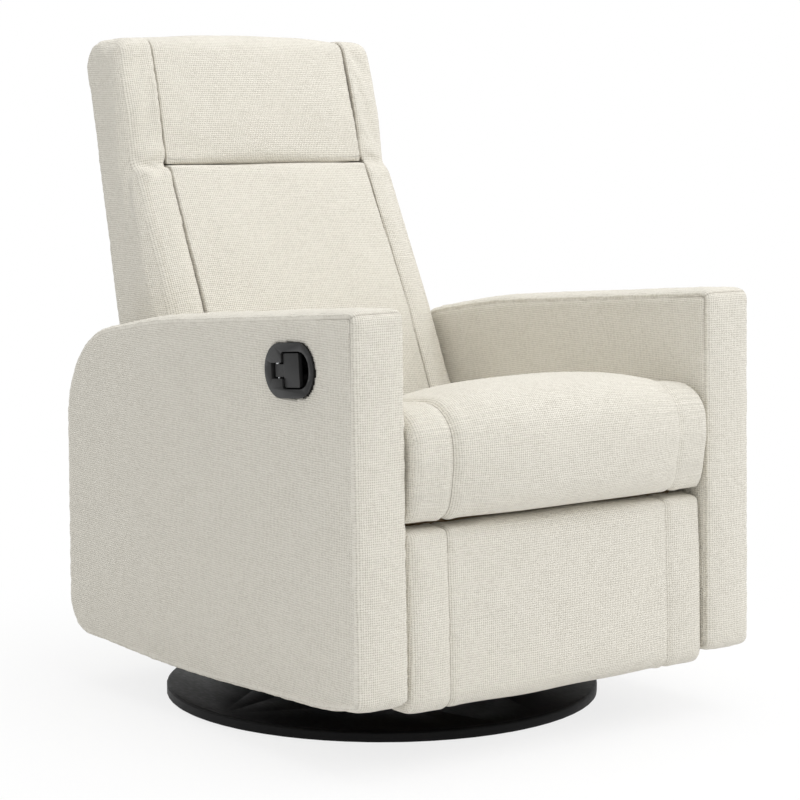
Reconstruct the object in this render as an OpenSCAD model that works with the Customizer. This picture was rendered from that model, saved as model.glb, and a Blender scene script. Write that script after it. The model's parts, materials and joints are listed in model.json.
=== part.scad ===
// Swivel glider recliner: padded arms, seat, back and footrest on a round floor plate.
// Lengths are millimetres. +Z is up, the chair faces -Y, and the swivel axis meets the floor at the origin.
// "Right" and "left" are the sitter's: the release handle is in the right arm, at -X.

/* [Floor plate and swivel] */
// Radius of the round floor plate
base_r = 345; // [310:1:380]
// Thickness of the floor plate
base_t = 16; // [12:1:20]
// Rounding of the floor plate's upper edge
base_edge = 3; // [1:0.5:5]
// Height of the glides under the floor plate
glide_t = 3; // [2:0.5:4]
// Radius of one floor glide
glide_r = 14; // [10:1:18]
// Number of glides in the outer ring
glide_count = 8; // [6:1:12]
// Radius of the circle of bearing balls
race_r = 150; // [140:1:160]
// Width of the bearing plates outside the circle of balls
race_rim = 32; // [28:1:35]
// Thickness of one bearing plate
race_t = 5; // [5:0.5:7]
// Space between the two bearing plates
race_gap = 3; // [2.5:0.5:4]
// Radius of a bearing ball
ball_r = 4.5; // [4:0.1:4.8]
// Number of bearing balls
ball_count = 24; // [12:1:32]
// Radius of the centre pin
king_r = 10; // [8:0.5:12]
// Radius of the washer on the centre pin
king_washer_r = 22; // [18:1:26]

/* [Glide frame] */
// Radius of the turning plate
plate_r = 190; // [184:1:200]
// Thickness of the turning plate
plate_t = 5; // [4:0.5:7]
// Height of the two cross tubes
cross_h = 24; // [20:1:28]
// Width of the two cross tubes
cross_w = 40; // [30:1:50]
// Distance of each cross tube from the swivel axis
cross_y = 95; // [85:1:105]
// Wall of the cross tubes
cross_wall = 2.5; // [2:0.1:4]
// Thickness of the upright side plates
stand_t = 6; // [5:0.5:7]
// Height of the upper glide pivots
hang_z = 225; // [215:1:232]
// Distance of the glide pivots from the swivel axis, to front and rear
link_y = 130; // [120:1:138]
// Length of a glide link between its pivots
link_len = 110; // [100:1:112]
// Width of a glide link
link_w = 24; // [20:1:26]
// Thickness of a glide link
link_t = 6; // [5:0.5:6.5]
// Radius of the glide pivot pins
link_pin_r = 6; // [5:0.5:7]

/* [Seat box] */
// Clear width between the arms
inner_w = 568; // [556:1:580]
// Thickness of the seat box side boards
board_t = 18; // [15:1:20]
// Height of the top of the seat box
deck_z = 356; // [350:1:360]
// Height of the bottom of the side boards
board_low_z = 100; // [98:1:104]
// Front end of the side boards, in front of the swivel axis
board_front = 366; // [362:1:368]
// Height of the front rail
front_rail_h = 22; // [18:1:24]
// Depth of the front rail
front_rail_d = 32; // [28:1:36]
// Place of the rear rail behind the swivel axis
rear_rail_y = 120; // [110:1:130]
// Depth of the rear rail
rear_rail_d = 30; // [25:1:34]
// Number of zigzag seat springs
spring_count = 5; // [3:1:6]
// Thickness of the spring wire
spring_wire = 3.5; // [3:0.1:4]

/* [Arms] */
// Thickness of an arm
arm_t = 90; // [84:1:98]
// Height of the arm at its front
arm_h = 660; // [650:1:672]
// Front of the arm at its foot, in front of the swivel axis
arm_front = 456; // [450:1:462]
// How far the arm's front leans back at its top
arm_lean = 15; // [8:1:22]
// Rear of the arm behind the swivel axis
arm_rear = 358; // [352:1:366]
// Lowest height of the arm's underside
arm_low_z = 74; // [70:1:80]
// Radius of the arm's rear upper corner
arm_sweep_r = 160; // [140:1:175]
// Radius of the arm's rear lower corner
arm_heel_r = 60; // [48:1:66]
// Thickness of the padding around the arm frame
arm_pad = 14; // [12:1:16]

/* [Seat cushion] */
// Distance of the seat's sewn channels from the middle
seat_channel_x = 214; // [206:1:218]
// Front of the cushion's crown, in front of the swivel axis
seat_front = 480; // [474:1:486]
// Height of the cushion's crown near the front
seat_top_z = 553; // [545:1:562]
// Distance of the footrest's sewn channels from the middle
channel_x = 205; // [196:1:214]
// Drop from the crown to the channels
seat_crown = 22; // [14:1:26]
// Depth of a sewn channel
channel_d = 4; // [2:0.5:6]

/* [Back] */
// Height of the back
back_top_z = 1048; // [1036:1:1060]
// Height of the headrest above the crease below it
head_h = 213.5; // [204:0.5:224]
// Rear of the back at its top
back_rear_top = 490; // [482:1:498]
// Rear of the back at its foot
back_rear_low = 313; // [308:1:318]
// Height of the foot of the back
back_low_z = 352; // [350:1:358]
// Half width of the back at the arms
back_hw = 271; // [264:1:274]
// Share of its width that the back loses from seat to top
taper_share = 0.072; // [0.05:0.001:0.08]
// Height of the recline pivot
recline_z = 362; // [360:1:366]

/* [Footrest] */
// Front of the footrest pad, in front of the swivel axis
foot_front = 446; // [442:1:450]
// Height of the foot of the pad
foot_low_z = 85; // [81:1:89]
// Height of the top of the pad
foot_top_z = 348; // [344:1:350]
// Length of a footrest bar between its pivots
bar_len = 195; // [188:1:198]
// Thickness of a footrest bar
bar_t = 6; // [5:0.5:6]
// Width of a footrest bar
bar_w = 24; // [20:1:26]
// Height of the upper bar pivots
bar_z = 303; // [300:1:306]

/* [Release handle] */
// Place of the handle in front of the swivel axis
handle_y = 291.5; // [282:0.5:300]
// Drop from the top of the arm to the middle of the handle
handle_drop = 95; // [88:1:105]
// Turn of the handle, which follows the slope of the arm's top
handle_turn = 5.4; // [3:0.2:7]
// Length of the handle's bezel
handle_w = 120.5; // [118:0.5:126]
// Height of the handle's bezel
handle_h = 78; // [76:1:84]
// Depth of the cup behind the bezel
cup_depth = 30; // [26:1:34]

/* [Hidden] */
$fn = 48;
over = 1;
fit = 0.05;
run_gap = 0.3;
arc_steps = 5;
end_in = 8;

// Heights of the swivel, from the floor up
base_top = glide_t + base_t;
ball_z = base_top + race_t + race_gap / 2;
upper_z = base_top + race_t + race_gap;
plate_z = upper_z + race_t;
cross_z = plate_z + plate_t;
cage_w = 18;
cage_t = 1.6;
glide_ring_r = base_r - 2 * glide_r;
race_screw_r = 2.5;
race_screw_head_r = 4.5;
race_screw_head = 3;
race_screw_len = 15;
race_screw_ring = race_r + race_rim - 2 * race_screw_head_r;
race_screw_count = 6;
plate_bolt_r = 4;
plate_bolt_count = 4;
bolt_head_share = 1.8;
bolt_head_h_share = 1.1;
king_washer_t = 4;
king_head_h = 8;

// Planes across the chair, from the arms inwards
inner_x = inner_w / 2;
outer_x = inner_x + arm_t;
board_x = inner_x - board_t;
rail_t = 4;
rail_x = board_x - rail_t;
bar_in = 12;
bar_gap = 2;
bar_a_x = board_x - bar_in;
bar_b_x = bar_a_x - bar_t - bar_gap;
bracket_x = bar_b_x - bar_t - bar_gap;
link_in = 22;
link_x = board_x - link_in;
stand_in = 10;
stand_x = link_x - stand_in;
side_gap = 4;
edge_turn = 80;

// Glide frame
low_pivot_z = hang_z - link_len;
stand_foot_y = cross_y + cross_w / 2;
stand_head = 17;
pin_head_r = 9;
pin_head_t = 2.5;
loose_gap = 0.6;
waist_share = 0.85;
rail_h = 38;
rail_len = 360;

// Seat box
board_rear = 327;
rear_rail_h = 38;
rear_rail_drop = 6;
hinge_rail_y = 205;
hinge_rail_d = 35;
hinge_rail_z = 292;
hinge_rail_h = 24;
hinge_rail_top = hinge_rail_z + hinge_rail_h;
hinge_rail_rear = hinge_rail_y + hinge_rail_d;
spring_drop = 14;
spring_swing = 22;
spring_pitch = 48;
spring_steps = 8;
spring_in = 70;
spring_span = 2 * (board_x - spring_in);
skirt_y = board_rear + run_gap;
skirt_t = 18;
skirt_top_z = 348;
skirt_low_z = 92;

// Frame bolts: place front to rear, height
bolt_r = 4;
rail_bolt_y = 48;
rear_bolt_in = 40;
low_bolt_up = 60;
high_bolt_down = 96;
front_bolt_back = 76;
rail_bolts = [[-rail_bolt_y, low_pivot_z], [rail_bolt_y, low_pivot_z]];
nut_t = 6.5;

// Arm outline, clockwise places as [front to rear, height, radius]
arm_mid_y = 80;
arm_mid_drop = 45;
arm_rear_drop = 94;
arm_toe_up = 31;
arm_shin_y = -360;
arm_shin_up = 16;
arm_shin_r = 250;
arm_heel_up = 8;
arm_belly_y = 20;
arm_toe_r = 13;
arm_brow_r = 16;
arm_top_r = 1400;
arm_belly_r = 3000;
arm_round = 9;
arm_puff = 2;
frame_t = 18;
batten_w = 30;
frame_in = 24;
sweep_run = 134;
// Battens: place from the arm's front as a share of its length, foot and head as shares of its height
batten_shares = [[0.052, 0.085, 0.932], [0.542, 0.051, 0.880], [0.929, 0.113, 0.599]];

// Seat cushion outline
deck_gap = 0.4;
seat_low_z = deck_z + deck_gap;
seat_rear_low = 72;
seat_rear_top = 118;
seat_rear_z = 450;
seat_dip_y = -120;
seat_dip_z = 484;
seat_mid_y = -310;
seat_mid_z = 538;
seat_nose_up = 4;
seat_nose_r = 86;
seat_nose_z = 437;
seat_nose_big_r = 100;
seat_nose_in = 8;
seat_nose_out = 3;
seat_lip = 10;
seat_lip_r = 50;
seat_heel_r = 10;
seat_rear_r = 22;
seat_top_r = 400;
seat_edge_r = 20;
seat_side_drop = 4.5;
seat_puff = 1;
channel_hw = 3;

// Back
back_shoulder_drop = 12;
back_shoulder_r = 46;
back_shoulder_z = back_top_z - back_shoulder_drop;
crease_z = back_top_z - head_h;
back_slope = (back_rear_top - back_rear_low) / (back_shoulder_z - back_low_z);
lean = atan(back_slope);
taper_rate = taper_share / (back_top_z - deck_z);
post_depth = 42;
post_t = 23;
post_lug_r = 10.5;
post_x = 164;
post_w = 24;
post_top_drop = 48;
post_top_z = back_top_z - post_top_drop;
post_top_gap = 9;
cover_d = post_depth - post_t / 2 / cos(lean) - run_gap;
web_depth = 55.2;
web_t = 1.5;
web_h = 50;
web_count = 6;
pad_depth = 56.5;
cushion_crown = 10;
cushion_edge_r = 10;
bolster_gap = 0.6;
centre_out = 1;
centre_x = channel_x + centre_out;
hinge_r = 6;
hinge_lug_r = 11;
hinge_plate_t = 5;
hinge_gap = 2;
hinge_plate_x = post_x + post_w + hinge_gap;
recline_y = back_y(recline_z, post_depth);
back_rail_h = 45;
back_rail_t = 20;
back_rail_gap = 4.8;
back_rail_low = hinge_lug_r + back_rail_h / 2 + back_rail_gap;
back_rail_top_drop = 22.3;
back_rail_shares = [0, 0.52, 1];
back_edge_r = 30;
back_seam_r = 8;
cover_edge_r = 6;
cover_toe_gap = 0.4;
cover_rear_r = 4;
cover_foot_r = 12;
cover_toe_drop = 4;
cover_toe_r = 5;
cover_step_r = 3;
crease_gap = 1.5;
head_toe_y = 316;
head_toe_r = 10;
head_rear_r = 6;
head_cap_drop = 3;
head_cap_r = 5;
head_top_y = 374;
head_top_up = 3;
head_top_r = 30;
head_face_y = 331;
head_face_up = 70;
head_face_r = 300;
back_toe_up = 48;
back_face_share = 0.5247;
back_face_z = back_low_z + back_face_share * (crease_z - back_low_z);
back_face_r = 600;
lumbar_toe_y = 104;
lumbar_toe_r = 18;
lumbar_heel_up = 24;
lumbar_heel_r = 8;
lumbar_rear_r = 6;
lumbar_brow_y = 307;
lumbar_brow_r = 13;
lumbar_face_y = 188;
bolster_toe_y = 114;
bolster_toe_r = 16;
bolster_foot_r = 14;
bolster_top_y = 380;
bolster_mid_y = 343;
bolster_mid_up = 90;
bolster_mid_r = 200;
bolster_top_drop = 5;
bolster_top_r = 26;
bolster_head_y = 328;
bolster_head_up = 8;
bolster_head_r = 40;
bolster_face_y = 203;

// Footrest linkage: the bars fold behind the pad and open along a nearly level line
bar_y = -262;
board_bolts = [[board_rear - rear_bolt_in, board_low_z + low_bolt_up],
    [board_rear - rear_bolt_in, deck_z - high_bolt_down], [bar_y + front_bolt_back, bar_z]];
fold_y = -352;
path_fall = 3;
fold_reach = (bar_y - fold_y) / cos(path_fall);
fold_half_angle = acos(fold_reach / (2 * bar_len));
foot_pivot = [fold_y, bar_z - fold_reach * sin(path_fall)];
knee_turn = fold_half_angle + path_fall;
knee = [bar_y - bar_len * cos(knee_turn), bar_z - bar_len * sin(knee_turn)];
bar_pin_r = 5;
tube_pin_r = 6;
tube_pin_in = 4;
foot_pin_rim = 2;
foot_pin_tip = 1.5;
drive_tube_r = 11;
drive_tube_wall = 2.5;
foot_board_t = 15;
foot_board_y = -373;
foot_pad_rear = foot_board_y - foot_board_t - run_gap;
foot_board_margin = 16;
foot_board_low = 25;
foot_bracket_h = 80;
foot_foot_w = 26;
foot_foot_t = 3;
foot_crown = 6;
foot_puff = 3;
foot_edge_r = 12;
foot_brow_in = 2;
foot_toe_out = 10;
foot_belly_out = 5;
foot_belly_up = 136;
foot_belly_r = 500;
foot_front_r = 24;
foot_brow_front_r = 18;
foot_heel_r = 8;
foot_brow_r = 6;
skirt_edge_r = 6;
skirt_front_r = 4;
skirt_rear_r = 8;

// Release handle
cup_wall = 2.5;
cup_inset = 6;
bezel_t = 3.5;
handle_z = arm_h - handle_drop;
recess_front = 49.5;
recess_rear = 17.2;
recess_h = 52.8;
recess_r = 24;
recess_rear_r = 5;
slot_h = 22.4;
slot_reach = 43.2;
slot_r = 1.5;
pocket_w = 12;
pocket_h = 33;
paddle_t = 6;
paddle_tab_w = 26.2;
paddle_tab_out = 27.9;
paddle_tab_y = paddle_tab_out - handle_y;
paddle_tab_h = 18;
paddle_blade_w = 37.4;
paddle_blade_h = 48;
paddle_blade_r = 4;
paddle_pin_r = 2;
paddle_pin_len = 40;
paddle_barrel_r = 5;
paddle_out = 1;
paddle_x = -outer_x - paddle_out;
paddle_pin_x = -outer_x + paddle_barrel_r;
paddle_spring_r = 4;
// Corners about the handle's middle, as [to the rear, up, radius, weight]
recess_corners = [
    [-recess_front, -recess_h / 2, recess_r, 1],
    [recess_rear, -recess_h / 2, recess_rear_r, 1],
    [recess_rear, -slot_h / 2, slot_r, 1],
    [slot_reach, -slot_h / 2, slot_r, 1],
    [slot_reach, slot_h / 2, slot_r, 1],
    [recess_rear, slot_h / 2, slot_r, 1],
    [recess_rear, recess_h / 2, recess_rear_r, 1],
    [-recess_front, recess_h / 2, recess_r, 1]];
paddle_pin_y = paddle_tab_y + paddle_tab_w / 2 - paddle_barrel_r;
blade_rear = paddle_tab_out - paddle_tab_w / 2;
blade_corners = [
    [blade_rear - paddle_blade_w, -paddle_blade_h / 2, slot_r, 1],
    [blade_rear, -paddle_blade_h / 2, paddle_blade_r, 1],
    [blade_rear, -paddle_tab_h / 2, slot_r / 2, 1],
    [paddle_pin_y + handle_y, -paddle_tab_h / 2, slot_r / 2, 1],
    [paddle_pin_y + handle_y, paddle_tab_h / 2, slot_r / 2, 1],
    [blade_rear, paddle_tab_h / 2, slot_r / 2, 1],
    [blade_rear, paddle_blade_h / 2, paddle_blade_r, 1],
    [blade_rear - paddle_blade_w, paddle_blade_h / 2, slot_r, 1]];
cable_r = 2.5;
cable_gap = 1;
latch_t = 3.5;
latch_gap = 0.7;
latch_x = board_x - latch_gap;
latch_y = -215;
latch_z = 190;
latch_up = 45;
latch_nose = 70;
latch_r = 10;
latch_pin_r = 4;
latch_pin_rim = 2;
latch_arm_share = 1.4;
// Route of the release cable from the cup down inside the arm and through the side board to the latch,
// as shares of the way to the cup along X, Y and Z
cable_end_x = 266;
cable_top_x = 352;
cable_end_z = latch_z + latch_up;
cable_top_drop = 34;
cable_shares = [[1, 1, 1], [1, 1, 0.898], [0.988, 0.986, 0.763], [0.965, 0.931, 0.593],
    [0.942, 0.792, 0.424], [0.919, 0.542, 0.254], [0.884, 0.264, 0.119], [0.814, 0.069, 0.034],
    [0.698, 0, 0.0034], [0.535, 0, 0], [0.279, 0, 0], [0, 0, 0]];
cable_route = [for (c = cable_shares) [-cable_end_x - c[0] * (cable_top_x - cable_end_x),
    latch_y - c[1] * (handle_y + latch_y),
    cable_end_z + c[2] * (handle_z - cable_top_drop - cable_end_z)]];

arm_corners = [
    [-arm_front, arm_low_z + arm_toe_up, arm_toe_r, 1],
    [arm_shin_y, arm_low_z + arm_shin_up, arm_shin_r, 1],
    [arm_belly_y, arm_low_z, arm_belly_r, 1],
    [arm_rear - run_gap, arm_low_z + arm_heel_up, arm_heel_r, 1],
    [arm_rear, arm_h - arm_rear_drop, arm_sweep_r, 1],
    [arm_mid_y, arm_h - arm_mid_drop, arm_top_r, 1],
    [-arm_front + arm_lean, arm_h, arm_brow_r, 1]];

frame_corners = [
    [-arm_front + frame_in, arm_low_z + arm_toe_up + frame_in],
    [arm_shin_y, arm_low_z + arm_shin_up + frame_in],
    [arm_belly_y, arm_low_z + frame_in],
    [arm_rear - arm_heel_r, arm_low_z + arm_heel_up + frame_in],
    [arm_rear - frame_in, arm_low_z + arm_heel_up + arm_heel_r],
    [arm_rear - frame_in, arm_h - arm_rear_drop - sweep_run],
    [arm_rear - sweep_run, arm_h - arm_rear_drop],
    [arm_mid_y, arm_h - arm_mid_drop - frame_in],
    [-arm_front + arm_lean + frame_in, arm_h - frame_in]];

seat_corners = [
    [-seat_front + seat_lip, seat_low_z, seat_lip_r, 0.85, 0],
    [seat_rear_low, seat_low_z, seat_heel_r, 0],
    [seat_rear_top, seat_rear_z, seat_rear_r, 0.5],
    [seat_dip_y, seat_dip_z, seat_top_r, 1],
    [seat_mid_y, seat_mid_z, seat_top_r, 1],
    [-seat_front + seat_nose_in, seat_top_z + seat_nose_up, seat_nose_r, 0.85, 1],
    [-seat_front - seat_nose_out, seat_nose_z, seat_nose_big_r, 0.85, 1]];

head_low_z = crease_z + crease_gap;
head_cap_z = back_top_z - head_cap_drop;
head_corners = [
    [head_toe_y, head_low_z, head_toe_r, 1, 0.1],
    [back_y(head_low_z, pad_depth), head_low_z, head_rear_r, 0],
    [back_y(head_cap_z, pad_depth), head_cap_z, head_cap_r, 0.5],
    [head_top_y, back_top_z + head_top_up, head_top_r, 1],
    [head_face_y, crease_z + head_face_up, head_face_r, 1]];

lumbar_heel_z = back_low_z + lumbar_heel_up;
lumbar_top_z = crease_z - crease_gap;
lumbar_corners = [
    [lumbar_toe_y, back_low_z + back_toe_up, lumbar_toe_r, 1],
    [back_y(lumbar_heel_z, pad_depth), lumbar_heel_z, lumbar_heel_r, 0],
    [back_y(lumbar_top_z, pad_depth), lumbar_top_z, lumbar_rear_r, 0],
    [lumbar_brow_y, lumbar_top_z, lumbar_brow_r, 1, 0.1],
    [lumbar_face_y, back_face_z, back_face_r, 1]];

bolster_corners = [
    [bolster_toe_y, back_low_z + back_toe_up, bolster_toe_r, 1],
    [back_rear_low, back_low_z, bolster_foot_r, 0.3],
    [back_rear_top, back_shoulder_z, back_shoulder_r, 0.5],
    [bolster_top_y, back_top_z - bolster_top_drop, bolster_top_r, 0.8],
    [bolster_mid_y, crease_z + bolster_mid_up, bolster_mid_r, 1],
    [bolster_head_y, crease_z + bolster_head_up, bolster_head_r, 1],
    [bolster_face_y, back_face_z, back_face_r, 1]];

cover_toe_z = back_top_z - cover_toe_drop;
cover_step_z = post_top_z + post_top_gap;
cover_toe_d = pad_depth - cover_toe_gap;
cover_corners = [
    [back_y(back_low_z, cover_d), back_low_z, cover_rear_r, 0.4],
    [back_rear_low, back_low_z, cover_foot_r, 0.4],
    [back_rear_top, back_shoulder_z, back_shoulder_r, 0.4],
    [back_y(cover_toe_z, cover_toe_d), cover_toe_z, cover_toe_r, 0.4],
    [back_y(cover_step_z, cover_toe_d), cover_step_z, cover_step_r, 0],
    [back_y(cover_step_z, cover_d), cover_step_z, cover_step_r, 0]];

foot_corners = [
    [-foot_front - foot_toe_out, foot_low_z, foot_front_r, 1, 0.3],
    [foot_pad_rear, foot_low_z, foot_heel_r, 0.3],
    [foot_pad_rear, foot_top_z, foot_brow_r, 0],
    [-foot_front + foot_brow_in, foot_top_z, foot_brow_front_r, 0.7],
    [-foot_front - foot_belly_out, foot_low_z + foot_belly_up, foot_belly_r, 1]];

skirt_corners = [
    [skirt_y, skirt_low_z, skirt_front_r, 0],
    [skirt_y + skirt_t, skirt_low_z, skirt_rear_r, 1],
    [skirt_y + skirt_t, skirt_top_z, skirt_rear_r, 1],
    [skirt_y, skirt_top_z, skirt_front_r, 0]];

// Distance to the rear of a point inside the back, at a height and a depth from its rear face
function back_y(z, depth) = back_rear_low + back_slope * (z - back_low_z) - depth;

function turn_of(a, b) = atan2(b[1] - a[1], b[0] - a[0]);

// Rounded outline through corners [y, z, radius, weight, height weight], given anticlockwise seen from +X.
// Each point carries the direction in which it faces and its weights, which are alike if one is given.
function rounded(c) = [
    for (i = [0:len(c) - 1])
        let (a = c[(i + len(c) - 1) % len(c)], p = c[i], b = c[(i + 1) % len(c)],
            ta = turn_of(p, a), tb = turn_of(p, b), open = (ta - tb + 720) % 360,
            side = open < 180 ? 1 : -1, reach = side * p[2] / sin(open / 2))
            for (k = [0:arc_steps])
                let (face = ta + 90 + k / arc_steps * (180 - open))
                    [p[0] + reach * cos(tb + open / 2) + side * p[2] * cos(face),
                     p[1] + reach * sin(tb + open / 2) + side * p[2] * sin(face), face, p[3],
                     len(p) > 4 ? p[4] : p[3]]];

function inset(o, d) = [for (p = o) [p[0] - d * p[3] * cos(p[2]), p[1] - d * p[4] * sin(p[2])]];

// Places a little inside each corner of a ring of points, which its closed end is built on
function inner_ring(o, ring) = [for (i = [0:len(o) / (arc_steps + 1) - 1])
    let (a = i * (arc_steps + 1), b = a + arc_steps, face = (o[a][2] + o[b][2]) / 2)
        (ring[a] + ring[b]) / 2 - end_in * [cos(face), sin(face)]];

// Faces of a closed end between a ring from its first point on and its inner ring
function end_faces(first, inner, corners) = concat(
    [for (i = [0:corners - 1]) for (k = [0:arc_steps - 1]) let (a = first + i * (arc_steps + 1) + k)
        [a, a + 1, inner + i]],
    [for (i = [0:corners - 1])
        let (b = first + i * (arc_steps + 1) + arc_steps, j = (i + 1) % corners,
            a = first + j * (arc_steps + 1))
            each [[b, a, inner + i], [a, inner + j, inner + i]]],
    [[for (i = [0:corners - 1]) inner + i]]);
function turned(faces) = [for (f = faces) [for (k = [len(f) - 1:-1:0]) f[k]]];

// Closed soft form: the outline repeated at layers [x, inset], narrowed with height by a rate
module padded(corners, layers, rate = 0) {
    o = rounded(corners);
    n = len(o);
    last = len(layers) - 1;
    rings = [for (l = layers) inset(o, l[1])];
    shapes = concat(rings, [inner_ring(o, rings[0]), inner_ring(o, rings[last])]);
    xs = concat([for (l = layers) l[0]], [layers[0][0], layers[last][0]]);
    points = [for (i = [0:len(shapes) - 1]) for (p = shapes[i])
        [xs[i] * (1 - rate * (p[1] - deck_z)), p[0], p[1]]];
    sides = [for (i = [0:last - 1]) for (j = [0:n - 1])
        let (a = i * n + j, b = i * n + (j + 1) % n)
            each [[a, a + n, b], [b, a + n, b + n]]];
    near = end_faces(0, (last + 1) * n, len(corners));
    far = turned(end_faces(last * n, (last + 1) * n + len(corners), len(corners)));
    polyhedron(points = points, faces = concat(near, sides, far));
}

// Layers of half a cushion, from its middle outwards
function crown_layers(x, drop, n, bend = 3) = [for (k = [0:n]) [x * k / n, drop * pow(k / n, bend)]];
function puff_layers(x0, x1, drop, puff, n) =
    [for (k = [0:n]) [x0 + (x1 - x0) * k / n, drop - puff * sin(180 * k / n)]];
function edge_layers(x, drop, r, n) = [for (k = [1:n])
    [x + r * sin(edge_turn * k / n), drop + r * (1 - cos(edge_turn * k / n))]];
function first_edge(x, r, n) = [for (k = [n:-1:1])
    [x + r * (1 - sin(edge_turn * k / n)), r * (1 - cos(edge_turn * k / n))]];
function both_halves(h) = concat([for (i = [len(h) - 1:-1:1]) [-h[i][0], h[i][1]]], h);

// Rod along X between two planes
module rod(x0, x1, y, z, r) {
    translate([x0, y, z]) rotate([0, 90, 0]) cylinder(r = r, h = x1 - x0);
}

// Plate in the side plane, from x outwards
module side_plate(x, t) {
    translate([x, 0, 0]) rotate([90, 0, 90]) linear_extrude(t) children();
}

// Bar outline between two pivots, with round eyes a little wider than the bar
module bar_shape(a, b, w) {
    run = norm(b - a);
    waist = w * waist_share;
    translate(a) rotate(turn_of(a, b)) translate([0, -waist / 2]) square([run, waist]);
    translate(a) circle(w / 2);
    translate(b) circle(w / 2);
}

module both_sides() {
    children();
    mirror([1, 0, 0]) children();
}

module ring_of(count, r) {
    for (i = [0:count - 1]) rotate(360 * i / count) translate([r, 0, 0]) children();
}

module oval(w, h) {
    translate([-(w - h) / 2, 0]) circle(h / 2);
    translate([(w - h) / 2, 0]) circle(h / 2);
    translate([-(w - h) / 2, -h / 2]) square([w - h, h]);
}

// Bar lying along the lean of the back, at a depth from its rear face
module leaning(z, depth) {
    translate([0, back_y(z, depth), z]) rotate([-lean, 0, 0]) children();
}

module base_disc() {
    color("#191919") difference() {
        rotate_extrude($fn = 96) polygon([[0, glide_t], [base_r, glide_t], [base_r, base_top - base_edge],
            [base_r - base_edge, base_top], [0, base_top]]);
        translate([0, 0, glide_t - over]) cylinder(r = king_r + fit, h = base_t + 2 * over);
        ring_of(race_screw_count, race_screw_ring)
            translate([0, 0, base_top + race_t - race_screw_len - fit])
                cylinder(r = race_screw_r + fit, h = race_screw_len + over);
    }
}

module floor_glides() {
    color("#2b2b2b") {
        cylinder(r = glide_r, h = glide_t);
        ring_of(glide_count, glide_ring_r) cylinder(r = glide_r, h = glide_t);
    }
}

// Round bearing plate with a groove for the balls
module bearing_plate(z) {
    difference() {
        translate([0, 0, z]) cylinder(r = race_r + race_rim, h = race_t, $fn = 72);
        translate([0, 0, z - over]) cylinder(r = king_r + fit, h = race_t + 2 * over);
        rotate_extrude() translate([race_r, ball_z]) circle(ball_r + run_gap);
    }
}

module lower_race() {
    color("#8d9094") difference() {
        bearing_plate(base_top);
        ring_of(race_screw_count, race_screw_ring) {
            translate([0, 0, base_top - over]) cylinder(r = race_screw_r + fit, h = race_t + 2 * over);
            translate([0, 0, base_top + race_t - race_screw_head])
                cylinder(r = race_screw_head_r + fit, h = race_screw_head + over);
        }
    }
}

module race_screws() {
    color("#55585c") ring_of(race_screw_count, race_screw_ring) {
        translate([0, 0, base_top + race_t - race_screw_len]) cylinder(r = race_screw_r, h = race_screw_len);
        translate([0, 0, base_top + race_t - race_screw_head])
            cylinder(r = race_screw_head_r, h = race_screw_head);
    }
}

module bearing_balls() {
    color("#c9ccd0") ring_of(ball_count, race_r) translate([0, 0, ball_z]) sphere(ball_r, $fn = 24);
}

module ball_cage() {
    color("#b08d3c") difference() {
        translate([0, 0, ball_z - cage_t / 2]) difference() {
            cylinder(r = race_r + cage_w / 2, h = cage_t);
            translate([0, 0, -over]) cylinder(r = race_r - cage_w / 2, h = cage_t + 2 * over);
        }
        ring_of(ball_count, race_r) translate([0, 0, ball_z - race_gap])
            cylinder(r = ball_r + run_gap, h = 2 * race_gap);
    }
}

module king_pin() {
    color("#77797d") {
        translate([0, 0, glide_t]) cylinder(r = king_r, h = cross_z - glide_t + king_washer_t + king_head_h);
        translate([0, 0, cross_z + run_gap]) cylinder(r = king_washer_r, h = king_washer_t);
        translate([0, 0, cross_z + king_washer_t])
            cylinder(r = king_r * bolt_head_share, h = king_head_h, $fn = 6);
    }
}

module upper_race() {
    color("#8d9094") difference() {
        bearing_plate(upper_z);
        ring_of(plate_bolt_count, race_screw_ring) translate([0, 0, upper_z - over])
            cylinder(r = plate_bolt_r + fit, h = race_t + 2 * over);
    }
}

module swivel_plate() {
    color("#232427") difference() {
        translate([0, 0, plate_z]) cylinder(r = plate_r, h = plate_t, $fn = 72);
        translate([0, 0, plate_z - over]) cylinder(r = king_r + fit, h = plate_t + 2 * over);
        ring_of(plate_bolt_count, race_screw_ring) translate([0, 0, plate_z - over])
            cylinder(r = plate_bolt_r + fit, h = plate_t + 2 * over);
    }
}

module plate_bolts() {
    color("#77797d") ring_of(plate_bolt_count, race_screw_ring) {
        translate([0, 0, upper_z]) cylinder(r = plate_bolt_r, h = race_t + plate_t);
        translate([0, 0, cross_z])
            cylinder(r = plate_bolt_r * bolt_head_share, h = plate_bolt_r * bolt_head_h_share, $fn = 6);
    }
}

module cross_tubes() {
    color("#232427") for (y = [-cross_y, cross_y])
        translate([-stand_x, y - cross_w / 2, cross_z]) difference() {
            cube([2 * stand_x, cross_w, cross_h]);
            translate([-over, cross_wall, cross_wall])
                cube([2 * (stand_x + over), cross_w - 2 * cross_wall, cross_h - 2 * cross_wall]);
        }
}

// Upright side plate that the glide links hang from
module stand() {
    color("#2a2b2e") side_plate(stand_x, stand_t) difference() {
        union() {
            polygon([[-stand_foot_y, cross_z], [stand_foot_y, cross_z], [link_y + stand_head, hang_z],
                [-link_y - stand_head, hang_z]]);
            translate([-link_y, hang_z]) circle(stand_head);
            translate([link_y, hang_z]) circle(stand_head);
        }
        translate([-link_y, hang_z]) circle(link_pin_r + fit);
        translate([link_y, hang_z]) circle(link_pin_r + fit);
    }
}

module stands() { both_sides() stand(); }

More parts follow.
